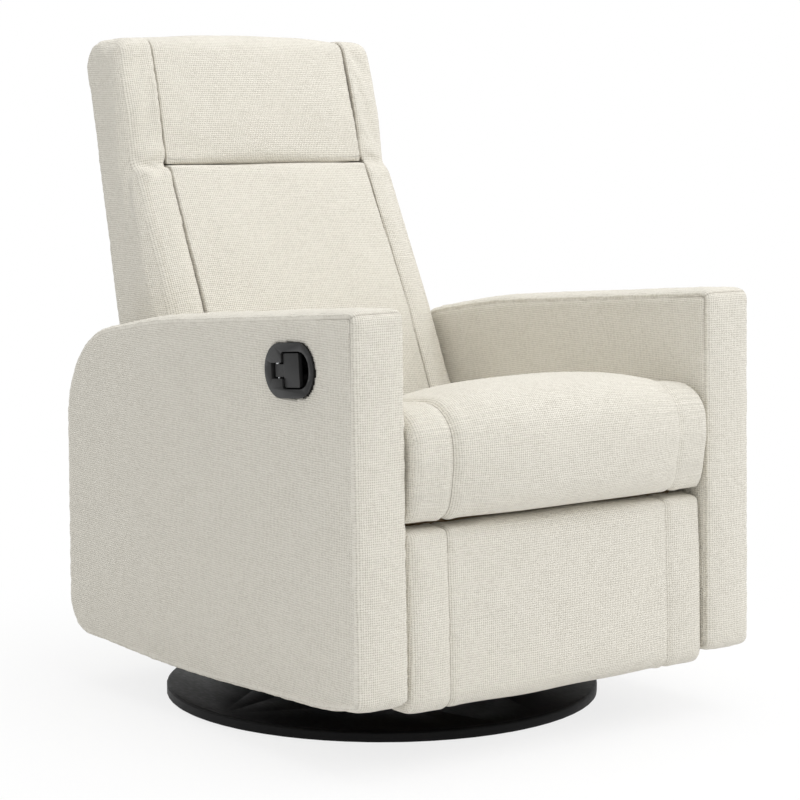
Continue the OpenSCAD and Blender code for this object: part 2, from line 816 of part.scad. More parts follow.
module hang_pins() {
    color("#9a9da1") both_sides() for (y = [-link_y, link_y]) {
        rod(stand_x - pin_head_t, link_x + link_t + pin_head_t, y, hang_z, link_pin_r);
        rod(stand_x - pin_head_t, stand_x, y, hang_z, pin_head_r);
        rod(stand_x + stand_t, link_x - run_gap, y, hang_z, pin_head_r);
        rod(link_x + link_t + run_gap, link_x + link_t + pin_head_t, y, hang_z, pin_head_r);
    }
}

module glide_link(y, low_gap) {
    color("#3a3b3f") side_plate(link_x, link_t) difference() {
        bar_shape([y, hang_z], [y, low_pivot_z], link_w);
        translate([y, hang_z]) circle(link_pin_r + fit);
        translate([y, low_pivot_z]) circle(link_pin_r + low_gap);
    }
}

module front_links() { both_sides() glide_link(-link_y, fit); }
module rear_links() { both_sides() glide_link(link_y, loose_gap); }

// Steel rail on the side board that carries the lower glide pivots
module glide_rail() {
    color("#2a2b2e") side_plate(rail_x, rail_t) difference() {
        translate([-rail_len / 2, low_pivot_z - rail_h / 2]) square([rail_len, rail_h]);
        for (y = [-link_y, link_y]) translate([y, low_pivot_z]) circle(link_pin_r + fit);
        for (p = rail_bolts) translate(p) circle(bolt_r + fit);
    }
}

module glide_rails() { both_sides() glide_rail(); }

module rail_pins() {
    color("#9a9da1") both_sides() for (y = [-link_y, link_y]) {
        rod(link_x - pin_head_t, board_x, y, low_pivot_z, link_pin_r);
        rod(link_x - pin_head_t, link_x - run_gap, y, low_pivot_z, pin_head_r);
        rod(link_x + link_t + run_gap, rail_x, y, low_pivot_z, pin_head_r);
    }
}

module seat_side(with_cable) {
    color("#c8a877") side_plate(board_x, board_t) difference() {
        polygon([[-board_front, board_low_z], [board_rear, board_low_z], [board_rear, hinge_rail_top],
            [hinge_rail_rear, hinge_rail_top], [hinge_rail_y, deck_z], [-board_front, deck_z]]);
        for (p = concat(rail_bolts, board_bolts)) translate(p) circle(bolt_r + fit);
        translate([bar_y, bar_z]) circle(tube_pin_r + fit);
        if (with_cable) {
            translate([latch_y, latch_z + latch_up]) circle(cable_r + cable_gap);
            translate([latch_y, latch_z]) circle(latch_pin_r + fit);
        }
    }
}

module seat_side_left() { seat_side(false); }
module seat_side_right() { mirror([1, 0, 0]) seat_side(true); }

module seat_front_rail() {
    color("#c8a877") translate([-board_x, -board_front, deck_z - front_rail_h])
        cube([2 * board_x, front_rail_d, front_rail_h]);
}

module seat_rear_rail() {
    color("#c8a877") translate([-board_x, rear_rail_y, deck_z - rear_rail_drop - rear_rail_h])
        cube([2 * board_x, rear_rail_d, rear_rail_h]);
}

module hinge_rail() {
    color("#c8a877") translate([-board_x, hinge_rail_y, hinge_rail_z])
        cube([2 * board_x, hinge_rail_d, hinge_rail_h]);
}

// Zigzag wire between the front and rear rails
module seat_springs() {
    run = rear_rail_y + board_front - front_rail_d;
    count = floor(run / spring_pitch * spring_steps);
    mid = [for (i = [0:count]) [spring_swing * sin(360 * i / spring_steps), run * i / count]];
    ways = [for (i = [0:count]) spring_swing * 360 / spring_pitch * PI / 180 * cos(360 * i / spring_steps)];
    left_edge = [for (i = [0:count]) mid[i] + spring_wire / 2 * [-1, ways[i]] / norm([1, ways[i]])];
    right_edge = [for (i = [count:-1:0]) mid[i] - spring_wire / 2 * [-1, ways[i]] / norm([1, ways[i]])];
    color("#6b6e73") for (k = [0:spring_count - 1])
        translate([-spring_span / 2 + spring_span * k / (spring_count - 1),
            -board_front + front_rail_d, deck_z - spring_drop - spring_wire])
            intersection() {
                linear_extrude(spring_wire) polygon(concat(left_edge, right_edge));
                translate([-2 * spring_swing, 0, 0]) cube([4 * spring_swing, run, spring_wire]);
            }
}

module frame_bolts() {
    color("#77797d") both_sides() {
        for (p = rail_bolts) frame_bolt(rail_x, p);
        for (p = board_bolts) frame_bolt(board_x, p);
    }
}

module frame_bolt(x, p) {
    rod(x, inner_x + arm_pad + frame_t + nut_t, p[0], p[1], bolt_r);
    rod(x - bolt_r * bolt_head_h_share, x, p[0], p[1], bolt_r * bolt_head_share);
    rod(inner_x + arm_pad + run_gap + frame_t, inner_x + arm_pad + run_gap + frame_t + nut_t, p[0], p[1],
        bolt_r * bolt_head_share);
}

// Layers of an arm from its inner to its outer face
arm_layers = [
    [inner_x, arm_round],
    [inner_x + arm_round / 3, arm_round / 2.6],
    [inner_x + arm_round, arm_round / 9],
    [inner_x + arm_t * 0.3, -arm_puff / 2],
    [inner_x + arm_t / 2, -arm_puff],
    [inner_x + arm_t * 0.7, -arm_puff / 2],
    [outer_x - arm_round, arm_round / 9],
    [outer_x - arm_round / 3, arm_round / 2.6],
    [outer_x, arm_round]];
hollow_layers = [[inner_x + arm_pad, arm_pad + arm_puff], [outer_x - arm_pad, arm_pad + arm_puff]];

module arm_shell(with_handle) {
    difference() {
        padded(arm_corners, arm_layers);
        padded(arm_corners, hollow_layers);
        for (p = concat(rail_bolts, board_bolts))
            rod(inner_x - over, inner_x + arm_pad + over, p[0], p[1], bolt_r + cable_gap);
        if (with_handle) {
            rod(inner_x - over, inner_x + arm_pad + over, latch_y, latch_z + latch_up, cable_r + cable_gap);
            at_handle() translate([outer_x - arm_pad - over, -handle_y, handle_z]) rotate([90, 0, 90])
                linear_extrude(arm_pad + 2 * over) oval(handle_w - cup_inset, handle_h - cup_inset);
        }
    }
}

module arm_cover_left() { color("#e3dfd5") arm_shell(false); }
module arm_cover_right() { color("#e3dfd5") mirror([1, 0, 0]) arm_shell(true); }

// Plywood side with three upright battens, inside the arm's padding
module arm_frame(with_handle) {
    x = inner_x + arm_pad + run_gap;
    long = arm_front + arm_rear;
    high = arm_h - arm_low_z;
    difference() {
        union() {
            side_plate(x, frame_t) polygon(frame_corners);
            for (b = batten_shares)
                translate([x + frame_t / 2, b[0] * long - arm_front, b[1] * high + arm_low_z])
                    cube([arm_t - 2 * arm_pad - 2 * run_gap - frame_t / 2, batten_w, (b[2] - b[1]) * high]);
        }
        for (p = concat(rail_bolts, board_bolts))
            rod(x - over, x + frame_t + over, p[0], p[1], bolt_r + fit);
        if (with_handle) rod(x - over, x + frame_t + over, latch_y, latch_z + latch_up, cable_r + cable_gap);
    }
}

module arm_frame_left() { color("#c8a877") arm_frame(false); }
module arm_frame_right() { color("#c8a877") mirror([1, 0, 0]) arm_frame(true); }

module seat_cushion() {
    edge = inner_x - side_gap - seat_edge_r * sin(edge_turn);
    side = seat_crown + seat_side_drop;
    half = concat(crown_layers(seat_channel_x - channel_hw, seat_crown, 7, 2),
        [[seat_channel_x, seat_crown + channel_d]],
        puff_layers(seat_channel_x + channel_hw, edge, side, seat_puff, 3),
        edge_layers(edge, side, seat_edge_r, 4));
    color("#e3dfd5") padded(seat_corners, both_halves(half));
}

module rear_skirt() {
    edge = inner_x - side_gap - skirt_edge_r;
    half = concat([[0, 0], [edge / 2, 0]], edge_layers(edge, 0, skirt_edge_r, 3));
    color("#e3dfd5") padded(skirt_corners, both_halves(half));
}

// Steel bracket on the hinge rail that carries the recline pin
module hinge_bracket() {
    side_plate(hinge_plate_x, hinge_plate_t) difference() {
        union() {
            polygon([[hinge_rail_y, hinge_rail_top], [hinge_rail_rear, hinge_rail_top],
                [recline_y + hinge_lug_r * cos(50), recline_z - hinge_lug_r * sin(50)],
                [recline_y - hinge_lug_r * cos(50), recline_z + hinge_lug_r * sin(50)]]);
            translate([recline_y, recline_z]) circle(hinge_lug_r);
        }
        translate([recline_y, recline_z]) circle(hinge_r + fit);
    }
    translate([hinge_plate_x + hinge_plate_t, hinge_rail_y, hinge_rail_top])
        cube([batten_w, hinge_rail_d, rail_t]);
}

module hinge_brackets() { color("#2a2b2e") both_sides() hinge_bracket(); }

module hinge_pins() {
    color("#9a9da1") both_sides() {
        outer = hinge_plate_x + hinge_plate_t;
        rod(post_x - pin_head_t, outer + pin_head_t, recline_y, recline_z, hinge_r);
        rod(post_x - pin_head_t, post_x - run_gap, recline_y, recline_z, hinge_lug_r);
        rod(outer, outer + pin_head_t, recline_y, recline_z, hinge_lug_r);
    }
}

module back_post() {
    difference() {
        union() {
            leaning(recline_z, post_depth) translate([post_x, -post_t / 2, 0])
                cube([post_w, post_t, (post_top_z - recline_z) / cos(lean)]);
            rod(post_x, post_x + post_w, recline_y, recline_z, post_lug_r);
        }
        rod(post_x - over, post_x + post_w + over, recline_y, recline_z, hinge_r + fit);
    }
}

module back_post_left() { color("#2a2b2e") back_post(); }
module back_post_right() { color("#2a2b2e") mirror([1, 0, 0]) back_post(); }

module back_rails() {
    low_z = recline_z + back_rail_low;
    color("#c8a877") for (s = back_rail_shares)
        leaning(low_z + (post_top_z - back_rail_top_drop - low_z) * s, post_depth)
            translate([-post_x, -back_rail_t / 2, -back_rail_h / 2])
                cube([2 * post_x, back_rail_t, back_rail_h]);
}

module back_webbing() {
    color("#3b3b3b") for (k = [0:web_count - 1])
        leaning(recline_z + (post_top_z - recline_z) * (k + 0.6) / web_count, web_depth)
            translate([-post_x - post_w, -web_t / 2, -web_h / 2])
                cube([2 * (post_x + post_w), web_t, web_h]);
}

module headrest_cushion() {
    edge = centre_x - bolster_gap / 2 - cushion_edge_r;
    half = concat(crown_layers(edge, cushion_crown, 5), edge_layers(edge, cushion_crown, cushion_edge_r, 3));
    color("#e3dfd5") padded(head_corners, both_halves(half), taper_rate);
}

module lumbar_cushion() {
    edge = centre_x - bolster_gap / 2 - cushion_edge_r;
    half = concat(crown_layers(edge, cushion_crown, 5), edge_layers(edge, cushion_crown, cushion_edge_r, 3));
    color("#e3dfd5") padded(lumbar_corners, both_halves(half), taper_rate);
}

module bolster() {
    edge = back_hw - back_edge_r * sin(edge_turn);
    layers = concat(first_edge(centre_x + bolster_gap / 2, back_seam_r, 3), [[edge, 0]],
        edge_layers(edge, 0, back_edge_r, 4));
    color("#e3dfd5") padded(bolster_corners, layers, taper_rate);
}

module bolster_left() { bolster(); }
module bolster_right() { mirror([1, 0, 0]) bolster(); }

module back_cover() {
    edge = centre_x - bolster_gap / 2 - cover_edge_r;
    half = concat([[0, 0], [edge / 2, 0]], edge_layers(edge, 0, cover_edge_r, 2));
    color("#dcd8ce") padded(cover_corners, both_halves(half), taper_rate);
}

module drive_tube() {
    color("#3a3b3f") difference() {
        rod(-bar_a_x, bar_a_x, bar_y, bar_z, drive_tube_r);
        rod(-bar_a_x - over, bar_a_x + over, bar_y, bar_z, drive_tube_r - drive_tube_wall);
    }
}

module drive_bar() {
    color("#3a3b3f") side_plate(bar_a_x, bar_t) difference() {
        bar_shape([bar_y, bar_z], knee, bar_w);
        translate([bar_y, bar_z]) circle(tube_pin_r + fit);
        translate(knee) circle(bar_pin_r + fit);
    }
}

module drive_bars() { both_sides() drive_bar(); }

module bar_pivots() {
    color("#9a9da1") both_sides() {
        rod(bar_a_x - tube_pin_in, inner_x, bar_y, bar_z, tube_pin_r);
        rod(bar_a_x + bar_t + run_gap, board_x, bar_y, bar_z, pin_head_r);
    }
}

module reach_bar() {
    color("#4a4b50") side_plate(bar_b_x, bar_t) difference() {
        bar_shape(knee, foot_pivot, bar_w);
        translate(knee) circle(bar_pin_r + fit);
        translate(foot_pivot) circle(bar_pin_r + fit);
    }
}

module reach_bars() { both_sides() reach_bar(); }

module knee_pins() {
    color("#9a9da1") both_sides() {
        rod(bar_b_x - pin_head_t, bar_a_x + bar_t, knee[0], knee[1], bar_pin_r);
        rod(bar_b_x - pin_head_t, bar_b_x - run_gap, knee[0], knee[1], pin_head_r);
        rod(bar_b_x + bar_t + run_gap, bar_a_x, knee[0], knee[1], pin_head_r);
    }
}

// Bracket that joins the footrest board to the reach bar
module foot_bracket() {
    color("#3a3b3f") {
        side_plate(bracket_x, bar_t) difference() {
            union() {
                translate([foot_board_y, foot_pivot[1] - foot_bracket_h + bar_w / 2])
                    square([foot_pivot[0] - foot_board_y, foot_bracket_h]);
                translate(foot_pivot) circle(bar_w / 2);
            }
            translate(foot_pivot) circle(bar_pin_r + fit);
        }
        translate([bracket_x - foot_foot_w, foot_board_y, foot_pivot[1] - foot_bracket_h + bar_w / 2])
            cube([foot_foot_w, foot_foot_t, foot_bracket_h]);
    }
}

module foot_brackets() { both_sides() foot_bracket(); }

module foot_pins() {
    color("#9a9da1") both_sides() {
        rod(bracket_x, bar_b_x + bar_t + foot_pin_tip, foot_pivot[0], foot_pivot[1], bar_pin_r);
        rod(bar_b_x + bar_t + run_gap, bar_b_x + bar_t + foot_pin_tip, foot_pivot[0], foot_pivot[1],
            bar_pin_r + foot_pin_rim);
        rod(bracket_x + bar_t, bar_b_x - run_gap, foot_pivot[0], foot_pivot[1], bar_pin_r + foot_pin_rim);
    }
}

module footrest_board() {
    color("#c8a877") translate([-bracket_x, foot_board_y - foot_board_t, foot_low_z + foot_board_low])
        cube([2 * bracket_x, foot_board_t, foot_top_z - foot_low_z - foot_board_low - foot_board_margin]);
}

module footrest_pad() {
    edge = inner_x - side_gap - foot_edge_r * sin(edge_turn);
    half = concat(crown_layers(channel_x - channel_hw, foot_crown, 4), [[channel_x, foot_crown + channel_d]],
        puff_layers(channel_x + channel_hw, edge, foot_crown, foot_puff, 3),
        edge_layers(edge, foot_crown, foot_edge_r, 3));
    color("#e3dfd5") padded(foot_corners, both_halves(half));
}

module rounded_face(corners) { polygon([for (p = rounded(corners)) [p[0], p[1]]]); }

// Turns what belongs to the handle about its middle
module at_handle() {
    translate([0, -handle_y, handle_z]) rotate([-handle_turn, 0, 0])
        translate([0, handle_y, -handle_z]) children();
}

// Outline of the finger recess and of the slot for the paddle's tab, from the middle of the handle
module recess_outline() { rounded_face(recess_corners); }

// Oval cup let into the arm, with a raised bezel
module handle_cup() {
    w = handle_w - 2 * cup_inset;
    h = handle_h - 2 * cup_inset;
    color("#17181a") at_handle() translate([-outer_x, -handle_y, handle_z]) rotate([90, 0, 90]) {
        difference() {
            union() {
                translate([0, 0, -bezel_t]) linear_extrude(bezel_t) oval(handle_w, handle_h);
                linear_extrude(cup_depth) oval(w, h);
            }
            translate([0, 0, -bezel_t - over]) linear_extrude(bezel_t + cup_depth - cup_wall + over)
                recess_outline();
            translate([paddle_pin_y + handle_y - pocket_w / 2, -pocket_h / 2, 0])
                cube([pocket_w, pocket_h, pocket_w]);
            translate([paddle_pin_y + handle_y, -paddle_pin_len / 2, paddle_pin_x + outer_x])
                rotate([-90, 0, 0]) cylinder(r = paddle_pin_r + fit, h = paddle_pin_len);
        }
    }
}

module paddle_pin() {
    color("#9a9da1") at_handle() translate([paddle_pin_x, paddle_pin_y, handle_z - paddle_pin_len / 2])
        cylinder(r = paddle_pin_r, h = paddle_pin_len);
}

module release_paddle() {
    color("#2c2e31") at_handle() difference() {
        union() {
            translate([paddle_x, -handle_y, handle_z]) rotate([90, 0, 90])
                linear_extrude(paddle_t) rounded_face(blade_corners);
            translate([paddle_pin_x, paddle_pin_y, handle_z - paddle_tab_h / 2])
                cylinder(r = paddle_barrel_r, h = paddle_tab_h);
        }
        translate([paddle_pin_x, paddle_pin_y, handle_z - paddle_tab_h / 2 - over])
            cylinder(r = paddle_pin_r + fit, h = paddle_tab_h + 2 * over);
    }
}

module paddle_spring() {
    low = handle_z + paddle_tab_h / 2 + run_gap;
    color("#b9bcc0") at_handle() translate([paddle_pin_x, paddle_pin_y, low]) difference() {
        cylinder(r = paddle_spring_r, h = paddle_barrel_r);
        translate([0, 0, -over]) cylinder(r = paddle_pin_r + run_gap, h = paddle_barrel_r + 2 * over);
    }
}

module release_cable() {
    n = len(cable_route);
    sides = 8;
    ways = [for (i = [0:n - 1])
        let (d = cable_route[min(i + 1, n - 1)] - cable_route[max(i - 1, 0)]) d / norm(d)];
    points = [for (i = [0:n - 1]) let (u = cross([0, 1, 0], ways[i]), a = u / norm(u), b = cross(ways[i], a))
        for (k = [0:sides - 1])
            cable_route[i] + cable_r * (cos(360 * k / sides) * a + sin(360 * k / sides) * b)];
    walls = [for (i = [0:n - 2]) for (k = [0:sides - 1])
        let (p = i * sides + k, q = i * sides + (k + 1) % sides)
            each [[p, p + sides, q], [q, p + sides, q + sides]]];
    ends = [[for (k = [0:sides - 1]) k], [for (k = [sides - 1:-1:0]) (n - 1) * sides + k]];
    color("#202124") polyhedron(points = points, faces = concat([ends[0]], walls, [ends[1]]));
}

module latch_lever() {
    color("#8d9094") mirror([1, 0, 0]) side_plate(latch_x - latch_t, latch_t) difference() {
        union() {
            bar_shape([latch_y, latch_z], [latch_y, latch_z + latch_up], latch_arm_share * latch_r);
            bar_shape([latch_y, latch_z], [latch_y - latch_nose, latch_z], latch_r);
            translate([latch_y, latch_z]) circle(latch_r);
        }
        translate([latch_y, latch_z]) circle(latch_pin_r + fit);
    }
}

module latch_pin() {
    color("#9a9da1") mirror([1, 0, 0]) {
        rod(latch_x - latch_t - pin_head_t, inner_x, latch_y, latch_z, latch_pin_r);
        rod(latch_x - latch_t - pin_head_t, latch_x - latch_t - run_gap, latch_y, latch_z,
            latch_pin_r + latch_pin_rim);
    }
}

base_disc();
floor_glides();
lower_race();
race_screws();
bearing_balls();
ball_cage();
king_pin();
upper_race();
swivel_plate();
plate_bolts();
cross_tubes();
stands();
hang_pins();
front_links();
rear_links();
glide_rails();
rail_pins();
seat_side_left();
seat_side_right();
seat_front_rail();
seat_rear_rail();
hinge_rail();
seat_springs();
frame_bolts();
arm_cover_left();
arm_cover_right();
arm_frame_left();
arm_frame_right();
seat_cushion();
rear_skirt();
hinge_brackets();
hinge_pins();
bar_pivots();
handle_cup();
paddle_pin();
release_cable();
latch_pin();
back_post_left();
back_post_right();
back_rails();
back_webbing();
headrest_cushion();
lumbar_cushion();
bolster_left();
bolster_right();
back_cover();
drive_tube();
drive_bars();
knee_pins();
reach_bars();
foot_brackets();
foot_pins();
footrest_board();
footrest_pad();
release_paddle();
paddle_spring();
latch_lever();
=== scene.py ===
import json
import math

import bpy
import bmesh
import numpy as np
from mathutils import Matrix, Vector


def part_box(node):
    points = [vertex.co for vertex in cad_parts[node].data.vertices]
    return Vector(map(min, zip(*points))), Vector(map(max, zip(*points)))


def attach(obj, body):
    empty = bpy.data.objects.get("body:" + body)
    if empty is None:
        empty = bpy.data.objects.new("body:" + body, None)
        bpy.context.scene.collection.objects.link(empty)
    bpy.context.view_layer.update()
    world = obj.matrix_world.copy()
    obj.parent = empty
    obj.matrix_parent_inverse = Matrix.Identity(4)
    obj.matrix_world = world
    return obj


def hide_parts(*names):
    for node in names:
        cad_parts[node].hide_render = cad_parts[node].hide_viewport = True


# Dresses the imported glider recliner: woven covers, seams, stitches, handle, plate and mechanism.
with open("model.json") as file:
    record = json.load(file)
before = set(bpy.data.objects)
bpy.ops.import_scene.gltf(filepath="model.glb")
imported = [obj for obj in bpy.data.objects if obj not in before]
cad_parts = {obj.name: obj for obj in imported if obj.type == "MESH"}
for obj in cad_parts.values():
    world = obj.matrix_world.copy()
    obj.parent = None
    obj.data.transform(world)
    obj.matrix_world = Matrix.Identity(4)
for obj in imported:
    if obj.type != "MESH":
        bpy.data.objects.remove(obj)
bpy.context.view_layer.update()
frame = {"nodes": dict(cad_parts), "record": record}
print("frame loaded:", len(frame["nodes"]), "nodes")


# Camera

cameraView = {
    "yaw": -36.82,          # degrees, towards the sitter's right
    "pitch": 7.02,          # degrees, looking down
    "roll": 0.10,
    "distance": 3.83975,
    "aimHeight": 0.4675,
    "aimSide": 0.02817,
    "lens": 108.87,
    "sensor": 36.0,
    "farthest": 60,
}


def makeCamera(view):
    yaw, pitch, roll = (math.radians(view[key]) for key in ("yaw", "pitch", "roll"))
    right = Vector((math.cos(yaw), math.sin(yaw), 0))
    level = math.cos(pitch)
    back = Vector((math.sin(yaw) * level, -math.cos(yaw) * level, math.sin(pitch)))
    up = back.cross(right)
    turnedRight = right * math.cos(roll) + up * math.sin(roll)
    turnedUp = up * math.cos(roll) - right * math.sin(roll)
    aim = Vector((0, 0, view["aimHeight"])) + right * view["aimSide"]
    place = aim + back * view["distance"]
    data = bpy.data.cameras.new("photoCamera")
    data.lens = view["lens"]
    data.sensor_width = view["sensor"]
    data.clip_end = view["farthest"]
    camera = bpy.data.objects.new("photoCamera", data)
    bpy.context.scene.collection.objects.link(camera)
    axes = Matrix((turnedRight, turnedUp, back)).transposed()
    camera.matrix_world = Matrix.Translation(place) @ axes.to_4x4()
    bpy.context.scene.camera = camera


makeCamera(cameraView)


# Node helpers

def addNode(tree, kind, inputs=None, **options):
    made = tree.nodes.new(kind)
    for key, value in options.items():
        setattr(made, key, value)
    for key, value in (inputs or {}).items():
        if isinstance(value, bpy.types.NodeSocket):
            tree.links.new(value, made.inputs[key])
        else:
            made.inputs[key].default_value = value
    return made


def calc(tree, operation, first, second=None, third=None):
    values = {i: v for i, v in enumerate((first, second, third)) if v is not None}
    return addNode(tree, "ShaderNodeMath", values, operation=operation).outputs[0]


def placeCalc(tree, operation, inputs):
    return addNode(tree, "ShaderNodeVectorMath", inputs, operation=operation).outputs[0]


def noise(tree, place, scale, detail, output="Fac"):
    inputs = {"Vector": place, "Scale": scale, "Detail": detail}
    return addNode(tree, "ShaderNodeTexNoise", inputs).outputs[output]


def smoothRange(tree, value, low, high, outLow=0.0, outHigh=1.0):
    inputs = {"Value": value, "From Min": low, "From Max": high,
              "To Min": outLow, "To Max": outHigh}
    return addNode(tree, "ShaderNodeMapRange", inputs, interpolation_type="SMOOTHSTEP").outputs[0]


def tint(tree, factor, first, second):
    made = addNode(tree, "ShaderNodeMix", {0: factor, 6: first, 7: second}, data_type="RGBA")
    return made.outputs[2]


# the value, plus share times what the unevenness is above or below its middle
def varied(tree, value, unevenness, share):
    centred = calc(tree, "SUBTRACT", unevenness, 0.5)
    return calc(tree, "MULTIPLY_ADD", centred, share, value)


def newMaterial(name):
    material = bpy.data.materials.new(name)
    material.use_nodes = True
    tree = material.node_tree
    shader = tree.nodes["Principled BSDF"]
    return material, tree, shader


# Woven cover cloth

cloth = {
    "pitch": 0.0034,        # one thread to the next
    "wander": 0.00085,      # how far the threads stray
    "wanderScale": 55.0,
    # the two ends of the cloth's tone: crowns of the threads lean to light, the hollows between
    # them are painted towards dark as shade, and random tone moves between both
    "light": (0.80, 0.768, 0.685, 1),
    "dark": (0.45, 0.415, 0.34, 1),
    "contrast": 0.62, "base": 0.40,
    "crossingShade": 0.44,  # from one crossing of the threads to the next
    "fibreScale": 900.0, "fibreShade": 0.45, "fibreRise": 0.35,
    "patchScale": 16.0, "patchShade": 0.30,
    "fleck": (0.38, 0.33, 0.26, 1),
    "fleckScale": 420.0, "fleckFrom": 0.64, "fleckTo": 0.76, "fleckShare": 0.45,
    "crownShare": 0.6, "ridgeShare": 0.4, "shadeFrom": 0.25, "shadeTo": 0.80,
    # painted shadow: this colour darkens the bottom of each seam's groove, and the cloth beside a
    # seam is painted a little darker as shade
    "seam": (0.34, 0.305, 0.25, 1),
    "seamShadowWidth": 0.0009, "seamCore": 0.3, "seamEdge": 1.5, "seamShadowShare": 0.75,
    "besideShadeWidth": 0.006, "besideShadeShare": 0.10,
    "bump": 0.0011, "bumpShare": 0.85,
    "rough": 0.92, "gloss": 0.22, "sheen": 0.12, "sheenRough": 0.55,
}


def threadHeight(tree, across):
    return calc(tree, "ABSOLUTE", calc(tree, "SINE", calc(tree, "MULTIPLY", across, math.pi)))


def clothMaterial(name, settings):
    material, tree, shader = newMaterial(name)
    place = addNode(tree, "ShaderNodeUVMap", uv_map="weave").outputs[0]
    stray = noise(tree, place, settings["wanderScale"], 2.0, "Color")
    centred = placeCalc(tree, "SUBTRACT", {0: stray, 1: (0.5, 0.5, 0.5)})
    reach = (settings["wander"] * 2,) * 3
    strayed = placeCalc(tree, "MULTIPLY_ADD", {0: centred, 1: reach, 2: place})
    threads = placeCalc(tree, "SCALE", {0: strayed, 3: 1 / settings["pitch"]})
    parts = addNode(tree, "ShaderNodeSeparateXYZ", {0: threads})
    warp = threadHeight(tree, parts.outputs[0])
    weft = threadHeight(tree, parts.outputs[1])
    crown = calc(tree, "SQRT", calc(tree, "MULTIPLY", warp, weft))
    ridge = calc(tree, "MAXIMUM", warp, weft)
    height = calc(tree, "ADD", calc(tree, "MULTIPLY", crown, settings["crownShare"]),
                  calc(tree, "MULTIPLY", ridge, settings["ridgeShare"]))

    # each crossing is a little lighter or darker than the next
    cell = placeCalc(tree, "FLOOR", {0: threads})
    chance = addNode(tree, "ShaderNodeTexWhiteNoise", {"Vector": cell}, noise_dimensions="2D")
    fibre = noise(tree, place, settings["fibreScale"], 2.0)
    patch = noise(tree, place, settings["patchScale"], 3.0)

    # painted shade: the hollows between threads are painted darker than their crowns; the
    # crossings, fibres and patches below vary at random, as the yarn's own tone
    shade = smoothRange(tree, height, settings["shadeFrom"], settings["shadeTo"])
    shade = varied(tree, shade, chance.outputs["Value"], settings["crossingShade"])
    shade = varied(tree, shade, fibre, settings["fibreShade"])
    shade = varied(tree, shade, patch, settings["patchShade"])
    shade = calc(tree, "MULTIPLY_ADD", shade, settings["contrast"], settings["base"])
    colour = tint(tree, shade, settings["dark"], settings["light"])
    speck = noise(tree, place, settings["fleckScale"], 1.0)
    fleck = smoothRange(tree, speck, settings["fleckFrom"], settings["fleckTo"],
                        0.0, settings["fleckShare"])
    colour = tint(tree, fleck, colour, settings["fleck"])

    # painted shadow: a seam is painted dark at its bottom, and the cloth beside it a little
    # darker, standing for the shade in and beside its groove
    seams = addNode(tree, "ShaderNodeAttribute", attribute_name="seams").outputs["Vector"]
    seamParts = addNode(tree, "ShaderNodeSeparateXYZ", {0: seams})
    first, second, third = (calc(tree, "ABSOLUTE", seamParts.outputs[i]) for i in range(3))
    near = calc(tree, "MINIMUM", calc(tree, "MINIMUM", first, second), third)
    grooveShadow = smoothRange(tree, near, settings["seamShadowWidth"] * settings["seamCore"],
                       settings["seamShadowWidth"] * settings["seamEdge"], settings["seamShadowShare"], 0.0)
    beside = smoothRange(tree, near, 0.0, settings["besideShadeWidth"], settings["besideShadeShare"], 0.0)
    strength = addNode(tree, "ShaderNodeAttribute", attribute_name="seamShade").outputs["Fac"]
    paintedSeamShade = calc(tree, "MULTIPLY", calc(tree, "MAXIMUM", grooveShadow, beside), strength)
    colour = tint(tree, paintedSeamShade, colour, settings["seam"])

    relief = calc(tree, "MULTIPLY_ADD", fibre, settings["fibreRise"], height)
    bump = addNode(tree, "ShaderNodeBump", {"Height": relief, "Strength": settings["bumpShare"],
                                            "Distance": settings["bump"]})
    tree.links.new(colour, shader.inputs["Base Color"])
    tree.links.new(bump.outputs[0], shader.inputs["Normal"])
    shader.inputs["Roughness"].default_value = settings["rough"]
    shader.inputs["Specular IOR Level"].default_value = settings["gloss"]
    shader.inputs["Sheen Weight"].default_value = settings["sheen"]
    shader.inputs["Sheen Roughness"].default_value = settings["sheenRough"]
    return material


# Hard finishes, all on Object coordinates

